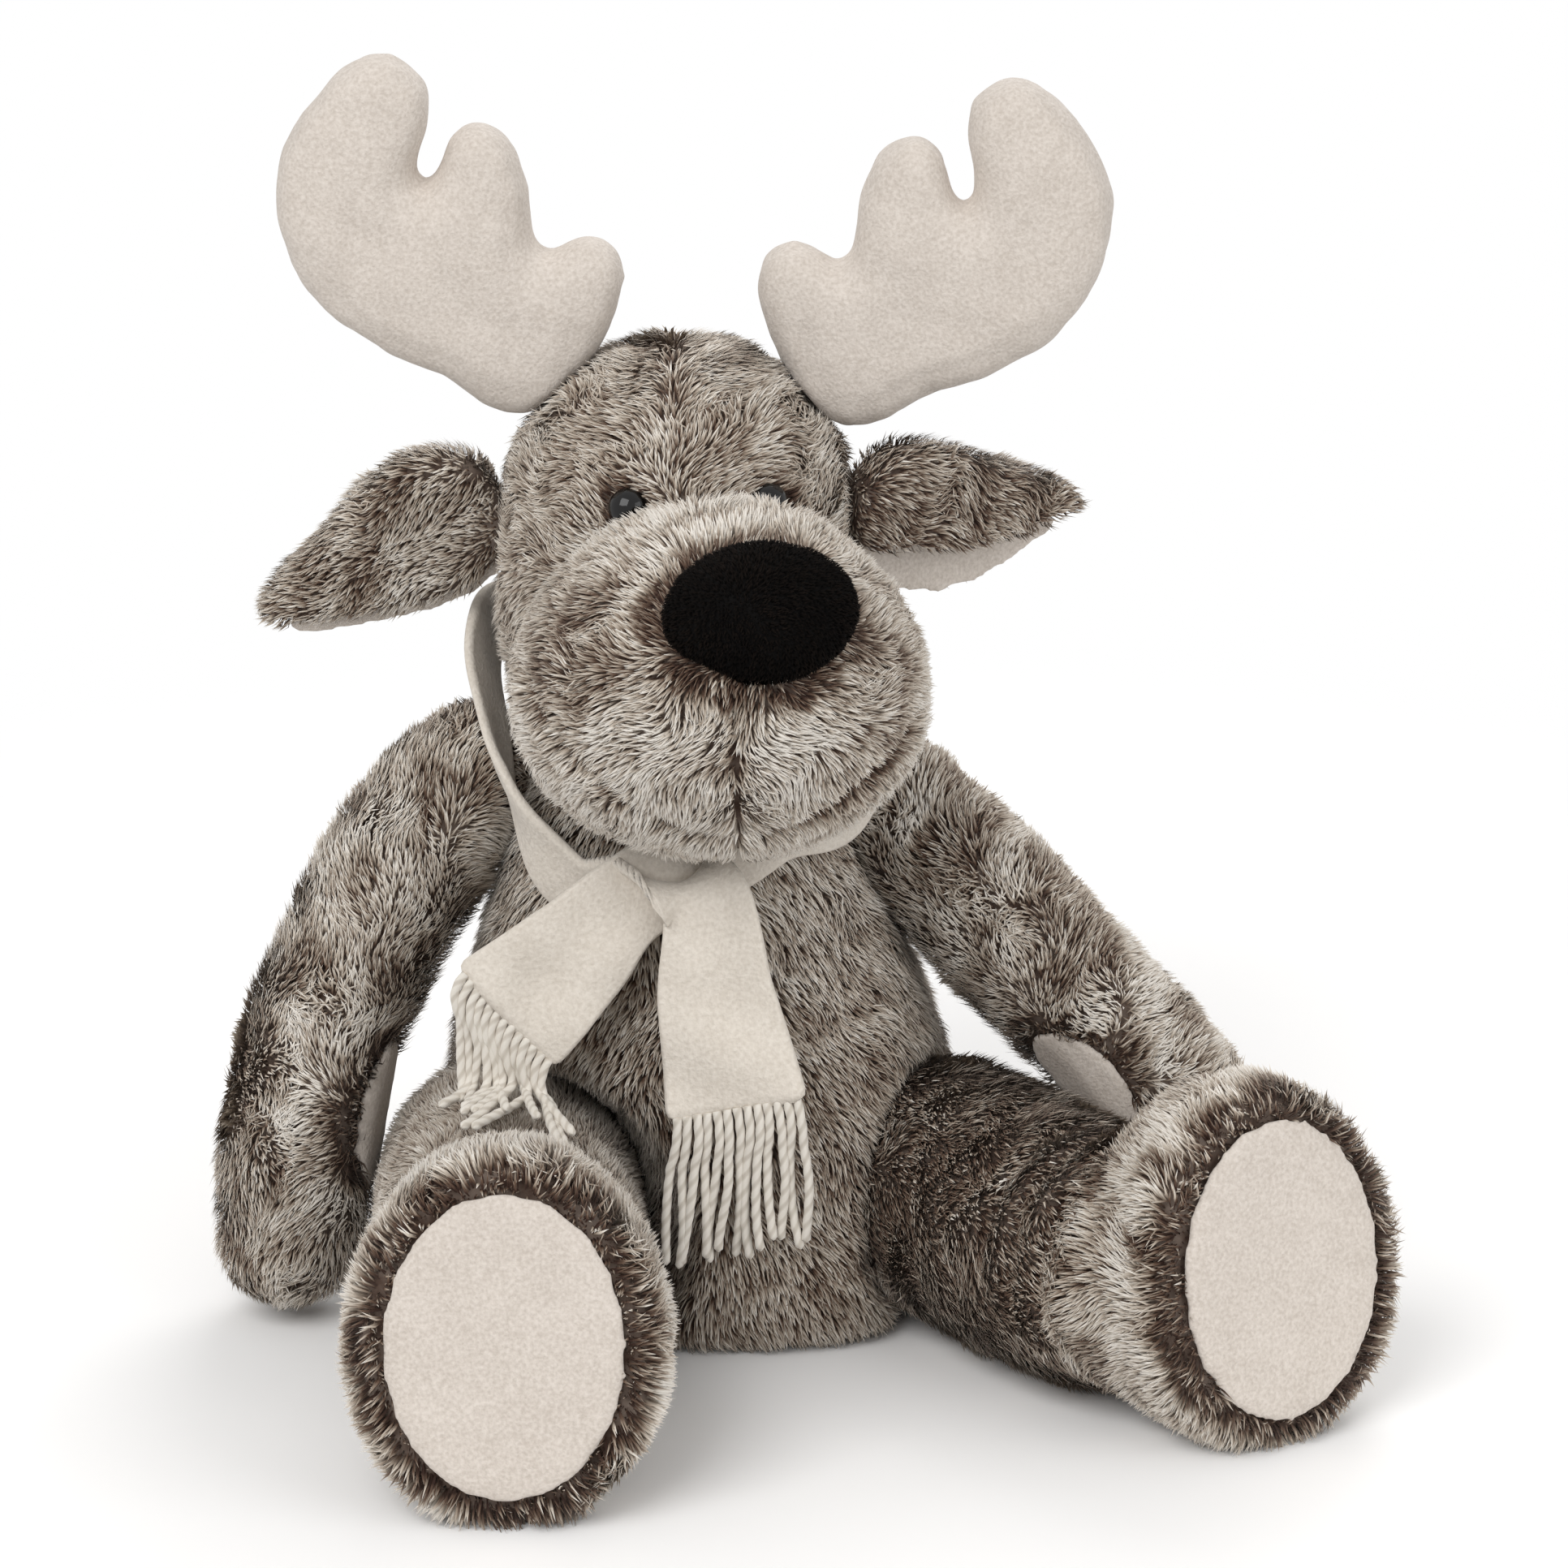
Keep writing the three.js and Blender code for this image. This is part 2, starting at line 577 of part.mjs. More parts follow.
/** An oval prism through the arm's skin at the palm. */
function palmCutter(side, grow) {
  const oval = new THREE.CylinderGeometry(1, 1, 4 * pile, aroundSole)
  oval.scale(palmPadWidth / 2 + grow, 1, palmPadLength / 2 + grow)
  return solid(oval.applyMatrix4(palmFrame(side)))
}

/** The frame of a foot, whose -Y' looks out of the sole. */
function footFrame(side) {
  const [place] = placed([footPlaceShares[side]], legLength, hipPlace(side))
  return frameAt(place, -footLean[side], 0, sides[side] * footYaw[side])
}

/** A foot: an oval turned form from the sole's plane back into the leg. */
function footForm(inset, count) {
  const wide = 1
  const form = turned(footShares, footDepth, wide, { count, steps: inset ? 5 : 7 })
  const place = form.attributes.position
  for (let i = 0; i < place.count; i += 1) {
    place.setX(i, place.getX(i) * (1 + footTaperShare * place.getY(i)))
    place.setZ(i, inset + place.getZ(i) * (1 - (2 * inset) / footDepth))
  }
  return form.scale(footWidth / 2 - inset, footHeight / 2 - inset, 1).rotateX(-Math.PI / 2)
}

/** A leg: thigh and foot in one, cut flat where they rest. */
function legForm(side, inset, inside) {
  const count = inside ? aroundInside : aroundLeg
  const places = placed(legPlaceShares[side], legLength, hipPlace(side))
  const radii = legRadiusShares.map((share) => share * thighRadius)
  const across = new THREE.Vector3(0, 0, 1)
  const thigh = limb(places, radii, { inset, count, steps: inside ? 4 : 6, caps: 3, across })
  const foot = solid(footForm(inset, count).applyMatrix4(footFrame(side)))
  return solid(thigh).add(foot).subtract(belowFloor())
}

/** The sole, its face a little proud of the foot's. */
function solePad(side, grow) {
  const shape = turned(soleShares, suede + soleProud + 2 * grow, 1, { count: aroundSole, steps: 4 })
  shape.scale(soleWidth / 2 + grow, soleHeight / 2 + grow, 1).rotateX(Math.PI / 2)
  shape.translate(0, suede + grow, 0)
  return solid(shape.applyMatrix4(footFrame(side)))
}

/** A cover's part beyond the ankle: away from the sole with way 1, on its side with way -1. */
function beyondAnkle(body, side, way) {
  const frame = footFrame(side)
  const back = new THREE.Vector3(0, way, 0).transformDirection(frame)
  const seam = new THREE.Vector3(0, ankleDepth + (way * fit) / 2, 0).applyMatrix4(frame)
  return body.trimByPlane(back.toArray(), back.dot(seam))
}

/** The hole through which a limb's cover was stuffed, at its round end. */
function stuffingMouth(place, way, radius) {
  const bore = new THREE.CylinderGeometry(radius, radius, 2 * pile + 2 * overrun, aroundButton)
  const turn = new THREE.Quaternion().setFromUnitVectors(new THREE.Vector3(0, 1, 0), way)
  return solid(bore.applyQuaternion(turn).translate(...place.toArray()))
}

/** The height of the scarf's middle at an angle round the neck from the front. */
function bandHeight(angle) {
  const turn = Math.min(angle, 2 * Math.PI - angle) / Math.PI
  const shares = angle < Math.PI ? scarfRiseShares.left : scarfRiseShares.right
  const rise = new THREE.SplineCurve(shares.map((share, k) => new THREE.Vector2(k, share)))
  const share = rise.getPoint(turn).y
  return torsoHeight * (scarfFrontShare + share * (scarfBackShare - scarfFrontShare))
}

/** The strip of the scarf: tail, round the neck, and over the first end to the other tail. */
function scarfStrip() {
  const stations = []
  const tailStations = ({ top, foot, turn }) => {
    const [high, low] = placed([top, foot], torsoHeight)
    const wide = new THREE.Vector3(Math.cos(turn * degrees), 0, -Math.sin(turn * degrees))
    return [1, 0.5, 0].map((share) => ({
      place: high.clone().lerp(low, share),
      wide,
      width: scarfWidth * (1 - tailGatherShare * (1 - share)),
    }))
  }
  stations.push(...tailStations(tailPlaceShares.lower))
  for (let step = 1; step < bandSteps; step += 1) {
    const angle = (step / bandSteps) * 2 * Math.PI
    const reach = new THREE.Vector3(Math.sin(angle), -Math.cos(angle), 0)
    const place = new THREE.Vector3(neck.x, neck.y, bandHeight(angle)).addScaledVector(reach, scarfRadius)
    const slope = new THREE.Vector3(Math.sin(angle), 0, 0).multiplyScalar(bandLeanShare * Math.cos(angle / 2))
    const wide = new THREE.Vector3(0, 0, -1).add(slope).normalize()
    stations.push({ place, wide, width: scarfGather })
  }
  stations.push(...tailStations(tailPlaceShares.upper).reverse())
  return stations
}

/** A flat strip through stations, each with its place, its way across and its width. */
function ribbon(stations, thick) {
  const line = new THREE.CatmullRomCurve3(stations.map(({ place }) => place), false, 'centripetal')
  const steps = stations.length - 1
  const rings = []
  for (let k = 0; k <= 2 * steps; k += 1) {
    const at = k / 2
    const [a, b] = [stations[Math.floor(at)], stations[Math.ceil(at)]]
    const mix = at - Math.floor(at)
    const along = line.getTangent(at / steps)
    const wide = a.wide.clone().lerp(b.wide, mix)
    wide.addScaledVector(along, -wide.dot(along)).normalize()
    const out = new THREE.Vector3().crossVectors(along, wide).normalize()
    const half = (a.width + (b.width - a.width) * mix) / 2
    const centre = line.getPoint(at / steps)
    const corners = [[1, -0.5], [1, 0.5], [0.5, 1], [-0.5, 1], [-1, 0.5], [-1, -0.5], [-0.5, -1], [0.5, -1]]
    rings.push(corners.map(([w, t]) => {
      return centre.clone().addScaledVector(wide, w * half).addScaledVector(out, (t * thick) / 2)
    }))
  }
  const middle = (ring) => ring.reduce((sum, p) => sum.add(p), new THREE.Vector3()).divideScalar(ring.length)
  return lofted(rings, middle(rings[0]), middle(rings.at(-1)))
}

/** The height at which yarns come to lie on the right thigh. */
function lapHeight(x) {
  const hip = hipPlace('right')
  const reach = thighRadius + yarnRadius + lapClearance
  return hip.z + Math.sqrt(Math.max(reach ** 2 - (x - hip.x) ** 2, 0))
}

/** A fringe: a sewn hem along a tail's foot with a row of yarns, which turn forwards on a lap. */
function fringe({ top, foot, turn }, lap) {
  const [high, low] = placed([top, foot], torsoHeight)
  const down = low.clone().sub(high).normalize()
  const wide = new THREE.Vector3(Math.cos(turn * degrees), 0, -Math.sin(turn * degrees))
  wide.addScaledVector(down, -wide.dot(down)).normalize()
  const out = new THREE.Vector3().crossVectors(down, wide).normalize()
  const hem = new THREE.BoxGeometry(scarfWidth - hemDepth, hemThick, hemDepth)
  const basis = new THREE.Matrix4().makeBasis(wide, out, new THREE.Vector3().crossVectors(wide, out))
  const hemPlace = low.clone().addScaledVector(down, hemDepth / 2 + fit)
  let body = solid(hem.applyMatrix4(basis.setPosition(hemPlace)))
  for (let k = 0; k < yarnCount; k += 1) {
    const share = (k + 0.5) / yarnCount - 0.5
    const start = hemPlace.clone().addScaledVector(wide, share * (scarfWidth - hemDepth))
    const places = yarnPlaceShares.map((s) => {
      const fall = new THREE.Vector3(0, 0, -1).lerp(down, 1 - s).normalize()
      const place = start.clone().addScaledVector(fall, s * fringeLength)
      place.addScaledVector(wide, share * fringeFan * s)
      const sunk = Math.max(lap(place.x) - place.z, 0)
      return place.add(new THREE.Vector3(0, -sunk, sunk))
    })
    const radii = places.map(() => yarnRadius)
    body = body.add(solid(limb(places, radii, { count: aroundYarn, steps: 3, caps: 1, across: out })))
  }
  return body
}

// Materials from the photograph
const fur = { color: '#a89f97', roughness: 1, metalness: 0 }
const furDark = { color: '#8d837b', roughness: 1, metalness: 0 }
const paleSuede = { color: '#d5cec5', roughness: 0.95, metalness: 0 }
const fibre = { color: '#f1efeb', roughness: 1, metalness: 0 }
const cotton = { color: '#dcd6c8', roughness: 1, metalness: 0 }
const blackPlush = { color: '#0c0a09', roughness: 0.95, metalness: 0 }
const glossBlack = { color: '#0b0909', roughness: 0.12, metalness: 0 }
const whitePlastic = { color: '#e6e4df', roughness: 0.5, metalness: 0 }
const fleeceCloth = { color: '#e8dfd2', roughness: 0.95, metalness: 0 }
const woolYarn = { color: '#e0ddd6', roughness: 1, metalness: 0 }

/** A group whose origin is the centre of its joint. */
function bodyAt(place) {
  const group = new THREE.Group()
  group.position.copy(place)
  return group
}

/** Adds a piece worked out in the part's frame to a group that has only been moved. */
function addPiece(group, name, body, finish, origin = group.position) {
  const mesh = new THREE.Mesh(
    facets(body).translate(...origin.clone().negate().toArray()),
    new THREE.MeshStandardMaterial(finish),
  )
  mesh.name = name
  group.add(mesh)
}

const toy = new THREE.Group()

// Torso
const torsoCavity = torsoForm({ inset: pile, inside: true, lift: pile + overrun })
addPiece(toy, 'torso_cover', torsoForm({}).subtract(torsoCavity), fur)
const torsoStuffing = torsoForm({ inset: pile + fit, inside: true, lift: pile })
addPiece(toy, 'torso_filling', torsoStuffing.subtract(pelletBag(fit)), fibre)
addPiece(toy, 'seat_pellet_bag', pelletBag(0), cotton)

// Head, with muzzle, nose, eyes and antlers
const head = bodyAt(neck)
toy.add(head)
const eyePockets = Object.keys(sides).map((side) => {
  return stemDisc(side, washerRadius + fit, washerDepth - fit, eyeStemLength + washerThick + fit)
})
const eyeSeats = Object.keys(sides).map((side) => eyeBody(side, fit))
const cutAll = (body, cutters) => cutters.reduce((left, cutter) => left.subtract(cutter), body)
const headCavity = headForm({ inset: pile, inside: true, open: overrun })
const headSkin = headForm({}).subtract(headCavity)
addPiece(head, 'head_cover', cutAll(headSkin, [...eyeSeats, ...eyePockets]), fur)
const headStuffing = headForm({ inset: pile + fit, inside: true })
addPiece(head, 'head_filling', cutAll(headStuffing, [...eyeSeats, ...eyePockets]), fibre)

const headBlock = headForm({ grow: fit })
const muzzle = muzzleForm(0, around).subtract(headBlock).subtract(neckBlock())
const muzzleCavity = muzzleForm(pile, aroundInside).subtract(headForm({ grow: fit / 2 })).subtract(neckBlock(pile))
addPiece(head, 'muzzle_cover', cutAll(muzzle.subtract(muzzleCavity), eyeSeats), fur)
const muzzleStuffing = muzzleForm(pile + fit, aroundInside).subtract(headBlock).subtract(neckBlock(pile + fit))
addPiece(head, 'muzzle_filling', cutAll(muzzleStuffing, eyeSeats), fibre)
addPiece(head, 'nose', nosePad().subtract(muzzleForm(-fit, around)), blackPlush)

Object.keys(sides).forEach((side) => {
  addPiece(head, `eye_${side}`, eyeBody(side, 0), glossBlack)
  addPiece(head, `eye_washer_${side}`, eyeWasher(side), whitePlastic)
  const cavity = antlerForm(side, suede, antlerCorners, 1)
  const skin = antlerForm(side, 0, antlerCorners, 2).subtract(headBlock)
  addPiece(head, `antler_cover_${side}`, skin.subtract(cavity), paleSuede)
  addPiece(head, `antler_filling_${side}`, antlerForm(side, suede + fit, antlerCorners, 1).subtract(headBlock), fibre)
})

// Ears, each turning about its round root
Object.keys(sides).forEach((side) => {
  const place = new THREE.Vector3().setFromMatrixPosition(earFrame(side))
  const ear = bodyAt(place.clone().sub(neck))
  head.add(ear)
  const hollow = earSolid(side, earWall, earWall + liningShown)
  const lined = earSolid(side, earWall + fit, earWall + liningShown)
  const fold = earSolid(side, earWall + suede, earWall + liningShown + suede)
  const below = earFlapShare[side] < 1 ? [belowFlap(side)] : []
  addPiece(ear, `ear_back_${side}`, cutAll(earSolid(side, 0, 0), [hollow, ...below]), furDark, place)
  addPiece(ear, `ear_lining_${side}`, cutAll(lined, [fold, ...below]), paleSuede, place)
})

// Arms
Object.keys(sides).forEach((side) => {
  const shoulder = shoulderPlace(side)
  const arm = bodyAt(shoulder)
  toy.add(arm)
  const outer = solid(armForm(side, 0, false))
  const way = new THREE.Vector3(...armPlaceShares[side][1]).normalize()
  const mouth = stuffingMouth(shoulder.clone().addScaledVector(way, -shoulderRadius), way, shoulderRadius / 2)
  const recess = palmCutter(side, fit).subtract(solid(armForm(side, suede + fit, false)))
  const skin = outer.subtract(solid(armForm(side, pile, true))).subtract(mouth).subtract(recess)
  addPiece(arm, `arm_cover_${side}`, skin, fur)
  addPiece(arm, `arm_filling_${side}`, solid(armForm(side, pile + fit, true)), fibre)
  const pad = palmCutter(side, 0).intersect(outer.subtract(solid(armForm(side, suede, false))))
  addPiece(arm, `palm_pad_${side}`, pad, paleSuede)
})

// Legs
Object.keys(sides).forEach((side) => {
  const hip = hipPlace(side)
  const leg = bodyAt(hip)
  toy.add(leg)
  const way = new THREE.Vector3(...legPlaceShares[side][1]).normalize()
  const mouth = stuffingMouth(hip.clone().addScaledVector(way, -thighRadius), way, thighRadius / 3)
  const hollow = legForm(side, 0, false).subtract(legForm(side, pile, true))
  const skin = cutAll(hollow, [mouth, solePad(side, fit)])
  addPiece(leg, `leg_cover_${side}`, beyondAnkle(skin, side, 1), fur)
  addPiece(leg, `foot_cover_${side}`, beyondAnkle(skin, side, -1), fur)
  addPiece(leg, `leg_filling_${side}`, legForm(side, pile + fit, true), fibre)
  addPiece(leg, `sole_${side}`, solePad(side, 0), paleSuede)
})

// Scarf
addPiece(toy, 'scarf', solid(ribbon(scarfStrip(), fleece)), fleeceCloth)
addPiece(toy, 'fringe_right', fringe(tailPlaceShares.lower, lapHeight), woolYarn)
addPiece(toy, 'fringe_left', fringe(tailPlaceShares.upper, () => 0), woolYarn)

export default toy
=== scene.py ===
"""A seated plush moose with a fringed fleece scarf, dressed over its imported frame.

Sewn and stuffed forms are copied from the frame, remeshed and smoothed as stuffed cloth, and the
plush grows on them as tufts. Metres, +Z up; the toy faces -Y, so its own right is -X.
"""

import logging
import math
from collections.abc import Callable, Sequence
from dataclasses import dataclass
from enum import Enum

import bpy
import numpy as np
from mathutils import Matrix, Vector
from mathutils.bvhtree import BVHTree


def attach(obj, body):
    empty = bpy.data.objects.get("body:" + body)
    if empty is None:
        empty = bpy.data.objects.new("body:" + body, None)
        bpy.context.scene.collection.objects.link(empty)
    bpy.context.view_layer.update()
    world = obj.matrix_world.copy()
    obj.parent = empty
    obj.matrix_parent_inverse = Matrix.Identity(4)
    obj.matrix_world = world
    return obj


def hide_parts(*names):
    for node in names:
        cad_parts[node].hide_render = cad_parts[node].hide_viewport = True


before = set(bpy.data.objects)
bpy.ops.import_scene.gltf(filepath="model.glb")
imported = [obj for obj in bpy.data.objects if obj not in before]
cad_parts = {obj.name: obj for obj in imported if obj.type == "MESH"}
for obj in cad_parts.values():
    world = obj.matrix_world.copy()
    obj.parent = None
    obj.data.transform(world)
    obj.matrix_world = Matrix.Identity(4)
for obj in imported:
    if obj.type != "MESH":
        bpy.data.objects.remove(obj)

LOG = logging.getLogger("moose")
MM = 0.001
DEGREE = math.pi / 180
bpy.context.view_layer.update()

Array = np.ndarray
Thing, Material = bpy.types.Object, bpy.types.Material
Tree, Socket = bpy.types.NodeTree, bpy.types.NodeSocket
Field = Callable[[Array], Array]
Point = tuple[float, float, float]


class Side(Enum):
    """The toy's own right and left, with the sign of X there."""

    RIGHT = ("right", -1.0)
    LEFT = ("left", 1.0)

    @property
    def word(self) -> str:
        """The word in the names of the pieces."""
        return self.value[0]

    @property
    def sign(self) -> float:
        """The sign of X on that side."""
        return self.value[1]


def pair(stem: str) -> list[str]:
    """The names of a node's right and left."""
    return [f"{stem}_{side.word}" for side in Side]


# Small tools


def unit(vectors: Array) -> Array:
    """Each vector divided by its length."""
    return vectors / np.maximum(np.linalg.norm(vectors, axis=-1, keepdims=True), 1e-12)


def across(vectors: Array, normals: Array) -> Array:
    """Each vector with its share along the normal taken off, at length one."""
    return unit(vectors - (vectors * normals).sum(-1, keepdims=True) * normals)


def waves(points: Array, size: float, seed: int, count: int = 9) -> Array:
    """A smooth random field, mostly between -1.5 and 1.5: the sum of count sine waves of random
    directions, whose lengths are near size."""
    rng = np.random.default_rng(seed)
    ways = unit(rng.normal(size=(count, 3))) / (size * rng.uniform(0.7, 1.6, (count, 1)))
    phase = rng.uniform(0, 2 * np.pi, count)
    return np.sin(2 * np.pi * points @ ways.T + phase).sum(1) / math.sqrt(count / 2)


def step(values: Array, low: float, high: float) -> Array:
    """A smooth climb from 0 at low to 1 at high."""
    share = np.clip((values - low) / (high - low), 0, 1)
    return share * share * (3 - 2 * share)


def spline(points: Array, share: Array) -> Array:
    """Points on a smooth curve through a row of points: Catmull-Rom cubics, one a span.

    Args:
        points: the row that the curve goes through.
        share: places along it, from 0 at the first to 1 at the last.

    Returns:
        One point for each share.
    """
    spans = len(points) - 1
    place = np.clip(share, 0, 1) * spans
    k = np.minimum(place.astype(int), spans - 1)
    t = (place - k)[:, None]
    ends = np.vstack([2 * points[0] - points[1], points, 2 * points[-1] - points[-2]])
    a, b, c, d = (ends[k + i] for i in range(4))
    square, cube = 2 * a - 5 * b + 4 * c - d, 3 * b - a - 3 * c + d
    return 0.5 * (2 * b + (c - a) * t + square * t**2 + cube * t**3)


def mesh_of(name: str, points: Array, faces: Array) -> Thing:
    """An object at the origin with a smooth mesh.

    Args:
        name: the piece's name.
        points: corner places, one a row.
        faces: corner numbers, one face a row, all with as many corners.

    Returns:
        The object.
    """
    mesh = bpy.data.meshes.new(name)
    mesh.vertices.add(len(points))
    mesh.vertices.foreach_set("co", np.ascontiguousarray(points, np.float32).ravel())
    mesh.loops.add(faces.size)
    mesh.loops.foreach_set("vertex_index", np.ascontiguousarray(faces, np.int32).ravel())
    mesh.polygons.add(len(faces))
    mesh.polygons.foreach_set("loop_start", np.arange(0, faces.size, faces.shape[1], dtype=np.int32))
    mesh.polygons.foreach_set("use_smooth", np.ones(len(faces), bool))
    mesh.update(calc_edges=True)
    thing = bpy.data.objects.new(name, mesh)
    bpy.context.scene.collection.objects.link(thing)
    return thing


def read(items: bpy.types.bpy_prop_collection, key: str, width: int, kind: type) -> Array:
    """One attribute of a mesh's items, as rows of some width."""
    out = np.empty(width * len(items), kind)
    items.foreach_get(key, out)
    return out.reshape(-1, width)


def places(thing: Thing) -> Array:
    """The corners of an object's mesh."""
    return read(thing.data.vertices, "co", 3, np.float32).astype(float)


def normals_of(thing: Thing) -> Array:
    """The smooth normals at the corners of an object's mesh."""
    return read(thing.data.vertex_normals, "vector", 3, np.float32).astype(float)


def edges_of(thing: Thing) -> Array:
    """The corner numbers of an object's edges."""
    return read(thing.data.edges, "vertices", 2, np.int32)


def triangles_of(thing: Thing) -> Array:
    """The corner numbers of an object's triangles."""
    thing.data.calc_loop_triangles()
    return read(thing.data.loop_triangles, "vertices", 3, np.int32)


def set_places(thing: Thing, points: Array) -> None:
    """Moves the corners of an object's mesh."""
    thing.data.vertices.foreach_set("co", points.astype(np.float32).ravel())
    thing.data.update()


def apply_modifiers(thing: Thing) -> None:
    """Turns an object's modifiers into its mesh."""
    bpy.context.view_layer.update()
    shown = thing.evaluated_get(bpy.context.evaluated_depsgraph_get())
    mesh = bpy.data.meshes.new_from_object(shown)
    thing.modifiers.clear()
    thing.data = mesh


def smoothed(points: Array, edges: Array, turns: int, share: float = 0.5) -> Array:
    """Points drawn towards the mean of their neighbours, a share of the way, some turns over."""
    count = np.bincount(edges.ravel(), minlength=len(points))[:, None]
    for _ in range(turns):
        total = np.zeros_like(points)
        for end in (0, 1):
            np.add.at(total, edges[:, end], points[edges[:, 1 - end]])
        points = points + share * (total / np.maximum(count, 1) - points)
    return points


def nearest(nodes: Sequence[str], points: Array, far: float = 12 * MM) -> Array:
    """How far each place lies from the nearest of some frame nodes.

    Args:
        nodes: names of frame nodes.
        points: places, one a row.
        far: distances beyond this are given as this.

    Returns:
        One distance a place.
    """
    out = np.full(len(points), far)
    for node in nodes:
        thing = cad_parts[node]
        corners = places(thing)
        near = ((points > corners.min(0) - far) & (points < corners.max(0) + far)).all(1)
        tree = BVHTree.FromPolygons(corners.tolist(), triangles_of(thing).tolist())
        for k in np.flatnonzero(near):
            hit = tree.find_nearest(Vector(points[k]), float(out[k]))
            if hit[3] is not None:
                out[k] = min(out[k], hit[3])
    return out


def clear_of(nodes: Sequence[str], low: float, high: float) -> Field:
    """A field that climbs from 0 to 1 as places get from low to high away from frame nodes."""
    return lambda root: step(nearest(nodes, root), low, high)


def bump_at(values: Array, middle: float, width: float) -> Array:
    """A smooth hump of height 1: the bell curve of (values - middle) / width."""
    return np.exp(-(((values - middle) / width) ** 2))


def facing_out(points: Array, faces: Array) -> Array:
    """Closed quads turned so that they face out: their corners' signed volume tells which way."""
    a, b, c, d = (points[faces[:, k]] for k in range(4))
    volume = (np.cross(b - a, c - a) * a).sum() + (np.cross(c - a, d - a) * a).sum()
    return faces if volume > 0 else faces[:, ::-1]


def tube_faces(rows: int, around: int) -> Array:
    """The quads of a closed tube of rings, its two ends closed by strips of quads."""
    row, column = np.meshgrid(np.arange(rows - 1), np.arange(around), indexing="ij")
    a, b = row * around + column, row * around + (column + 1) % around
    sides = np.stack([a, b, b + around, a + around], -1).reshape(-1, 4)
    k = np.arange(around // 2 - 1)
    cap = np.stack([k, k + 1, around - 2 - k, around - 1 - k], 1)
    return np.concatenate([sides, cap[:, ::-1], cap + (rows - 1) * around])


def plate(node: str, cover: str) -> tuple[Array, Array]:
    """The middle of a flat frame node and the way it faces, away from the cover behind it."""
    corners = places(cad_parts[node])
    middle = (corners.min(0) + corners.max(0)) / 2
    way = np.linalg.svd(corners - corners.mean(0), full_matrices=False)[2][2]
    behind = places(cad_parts[cover]).mean(0) - middle
    return middle, way * -np.sign(way @ behind)


def coat(thing: Thing, material: Material) -> None:
    """Makes a material the only one of a piece."""
    thing.data.materials.clear()
    thing.data.materials.append(material)


def set_map(thing: Thing, u: Array, v: Array) -> None:
    """Gives a piece its own map: two coordinates for each corner of each face."""
    rows = np.stack([u, v], -1).astype(np.float32).ravel()
    thing.data.uv_layers.new(name="OFBake").data.foreach_set("uv", rows)


def finish_piece(
    thing: Thing,
    body: str,
    material: Material,
    replaced: Sequence[str] = (),
) -> None:
    """Gives a piece its material and says what it is to the frame.

    Args:
        thing: the piece.
        body: the body that it rides on.
        material: its material.
        replaced: the frame nodes that it stands for.
    """
    coat(thing, material)
    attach(thing, body)
    if replaced:
        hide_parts(*replaced)
    LOG.info("%s: %d triangles", thing.name, len(triangles_of(thing)))


# Materials


def linear(code: str) -> tuple[float, float, float, float]:
    """A hex colour as seen on a screen, as the linear light that a shader takes."""
    shares = [int(code[i : i + 2], 16) / 255 for i in (1, 3, 5)]
    return (*[s / 12.92 if s <= 0.04045 else ((s + 0.055) / 1.055) ** 2.4 for s in shares], 1.0)


def add(tree: Tree, kind: str, links: dict | None = None, **settings: object) -> bpy.types.Node:
    """Adds a node with its settings, its constant inputs and its links.

    Args:
        tree: the material's node tree.
        kind: Blender's name for the node.
        links: what each input takes, a socket or a constant.
        settings: the node's own properties.

    Returns:
        The node.
    """
    node = tree.nodes.new(kind)
    for key, value in settings.items():
        setattr(node, key, value)
    for key, value in (links or {}).items():
        if isinstance(value, Socket):
            tree.links.new(value, node.inputs[key])
        else:
            node.inputs[key].default_value = value
    return node


def ramp(tree: Tree, value: Socket, stops: Sequence[tuple[float, str]]) -> Socket:
    """A run of colours along a value, from (place, hex colour) stops."""
    node = add(tree, "ShaderNodeValToRGB", {0: value})
    elements = node.color_ramp.elements
    while len(elements) < len(stops):
        elements.new(0.5)
    for element, (place, code) in zip(elements, stops):
        element.position = place
        element.color = linear(code)
    return node.outputs[0]


def new_material(name: str, inputs: dict[str, object]) -> tuple[Material, Tree, bpy.types.Node]:
    """A material with its node tree and its one shader, whose constant inputs it sets."""
    material = bpy.data.materials.new(name)
    material.use_nodes = True
    shader = material.node_tree.nodes["Principled BSDF"]
    for key, value in inputs.items():
        shader.inputs[key].default_value = value
    return material, material.node_tree, shader


def noise(tree: Tree, size: float, detail: float = 2.0) -> Socket:
    """A soft noise in the piece's own space, its patches about as wide as size."""
    where = add(tree, "ShaderNodeTexCoord").outputs["Object"]
    inputs = {"Vector": where, "Scale": 1 / size, "Detail": detail}
    return add(tree, "ShaderNodeTexNoise", inputs).outputs[0]


def own_map(tree: Tree) -> list[Socket]:
    """The two coordinates of a piece's own map."""
    place = add(tree, "ShaderNodeUVMap", uv_map="OFBake").outputs[0]
    return add(tree, "ShaderNodeSeparateXYZ", {0: place}).outputs[:2]


def relief(tree: Tree, shader: bpy.types.Node, height: Socket, deep: float, strength: float) -> None:
    """Tilts a shader's normals as a height of some depth would."""
    bump = add(tree, "ShaderNodeBump", {"Height": height, "Distance": deep, "Strength": strength})
    tree.links.new(bump.outputs[0], shader.inputs["Normal"])


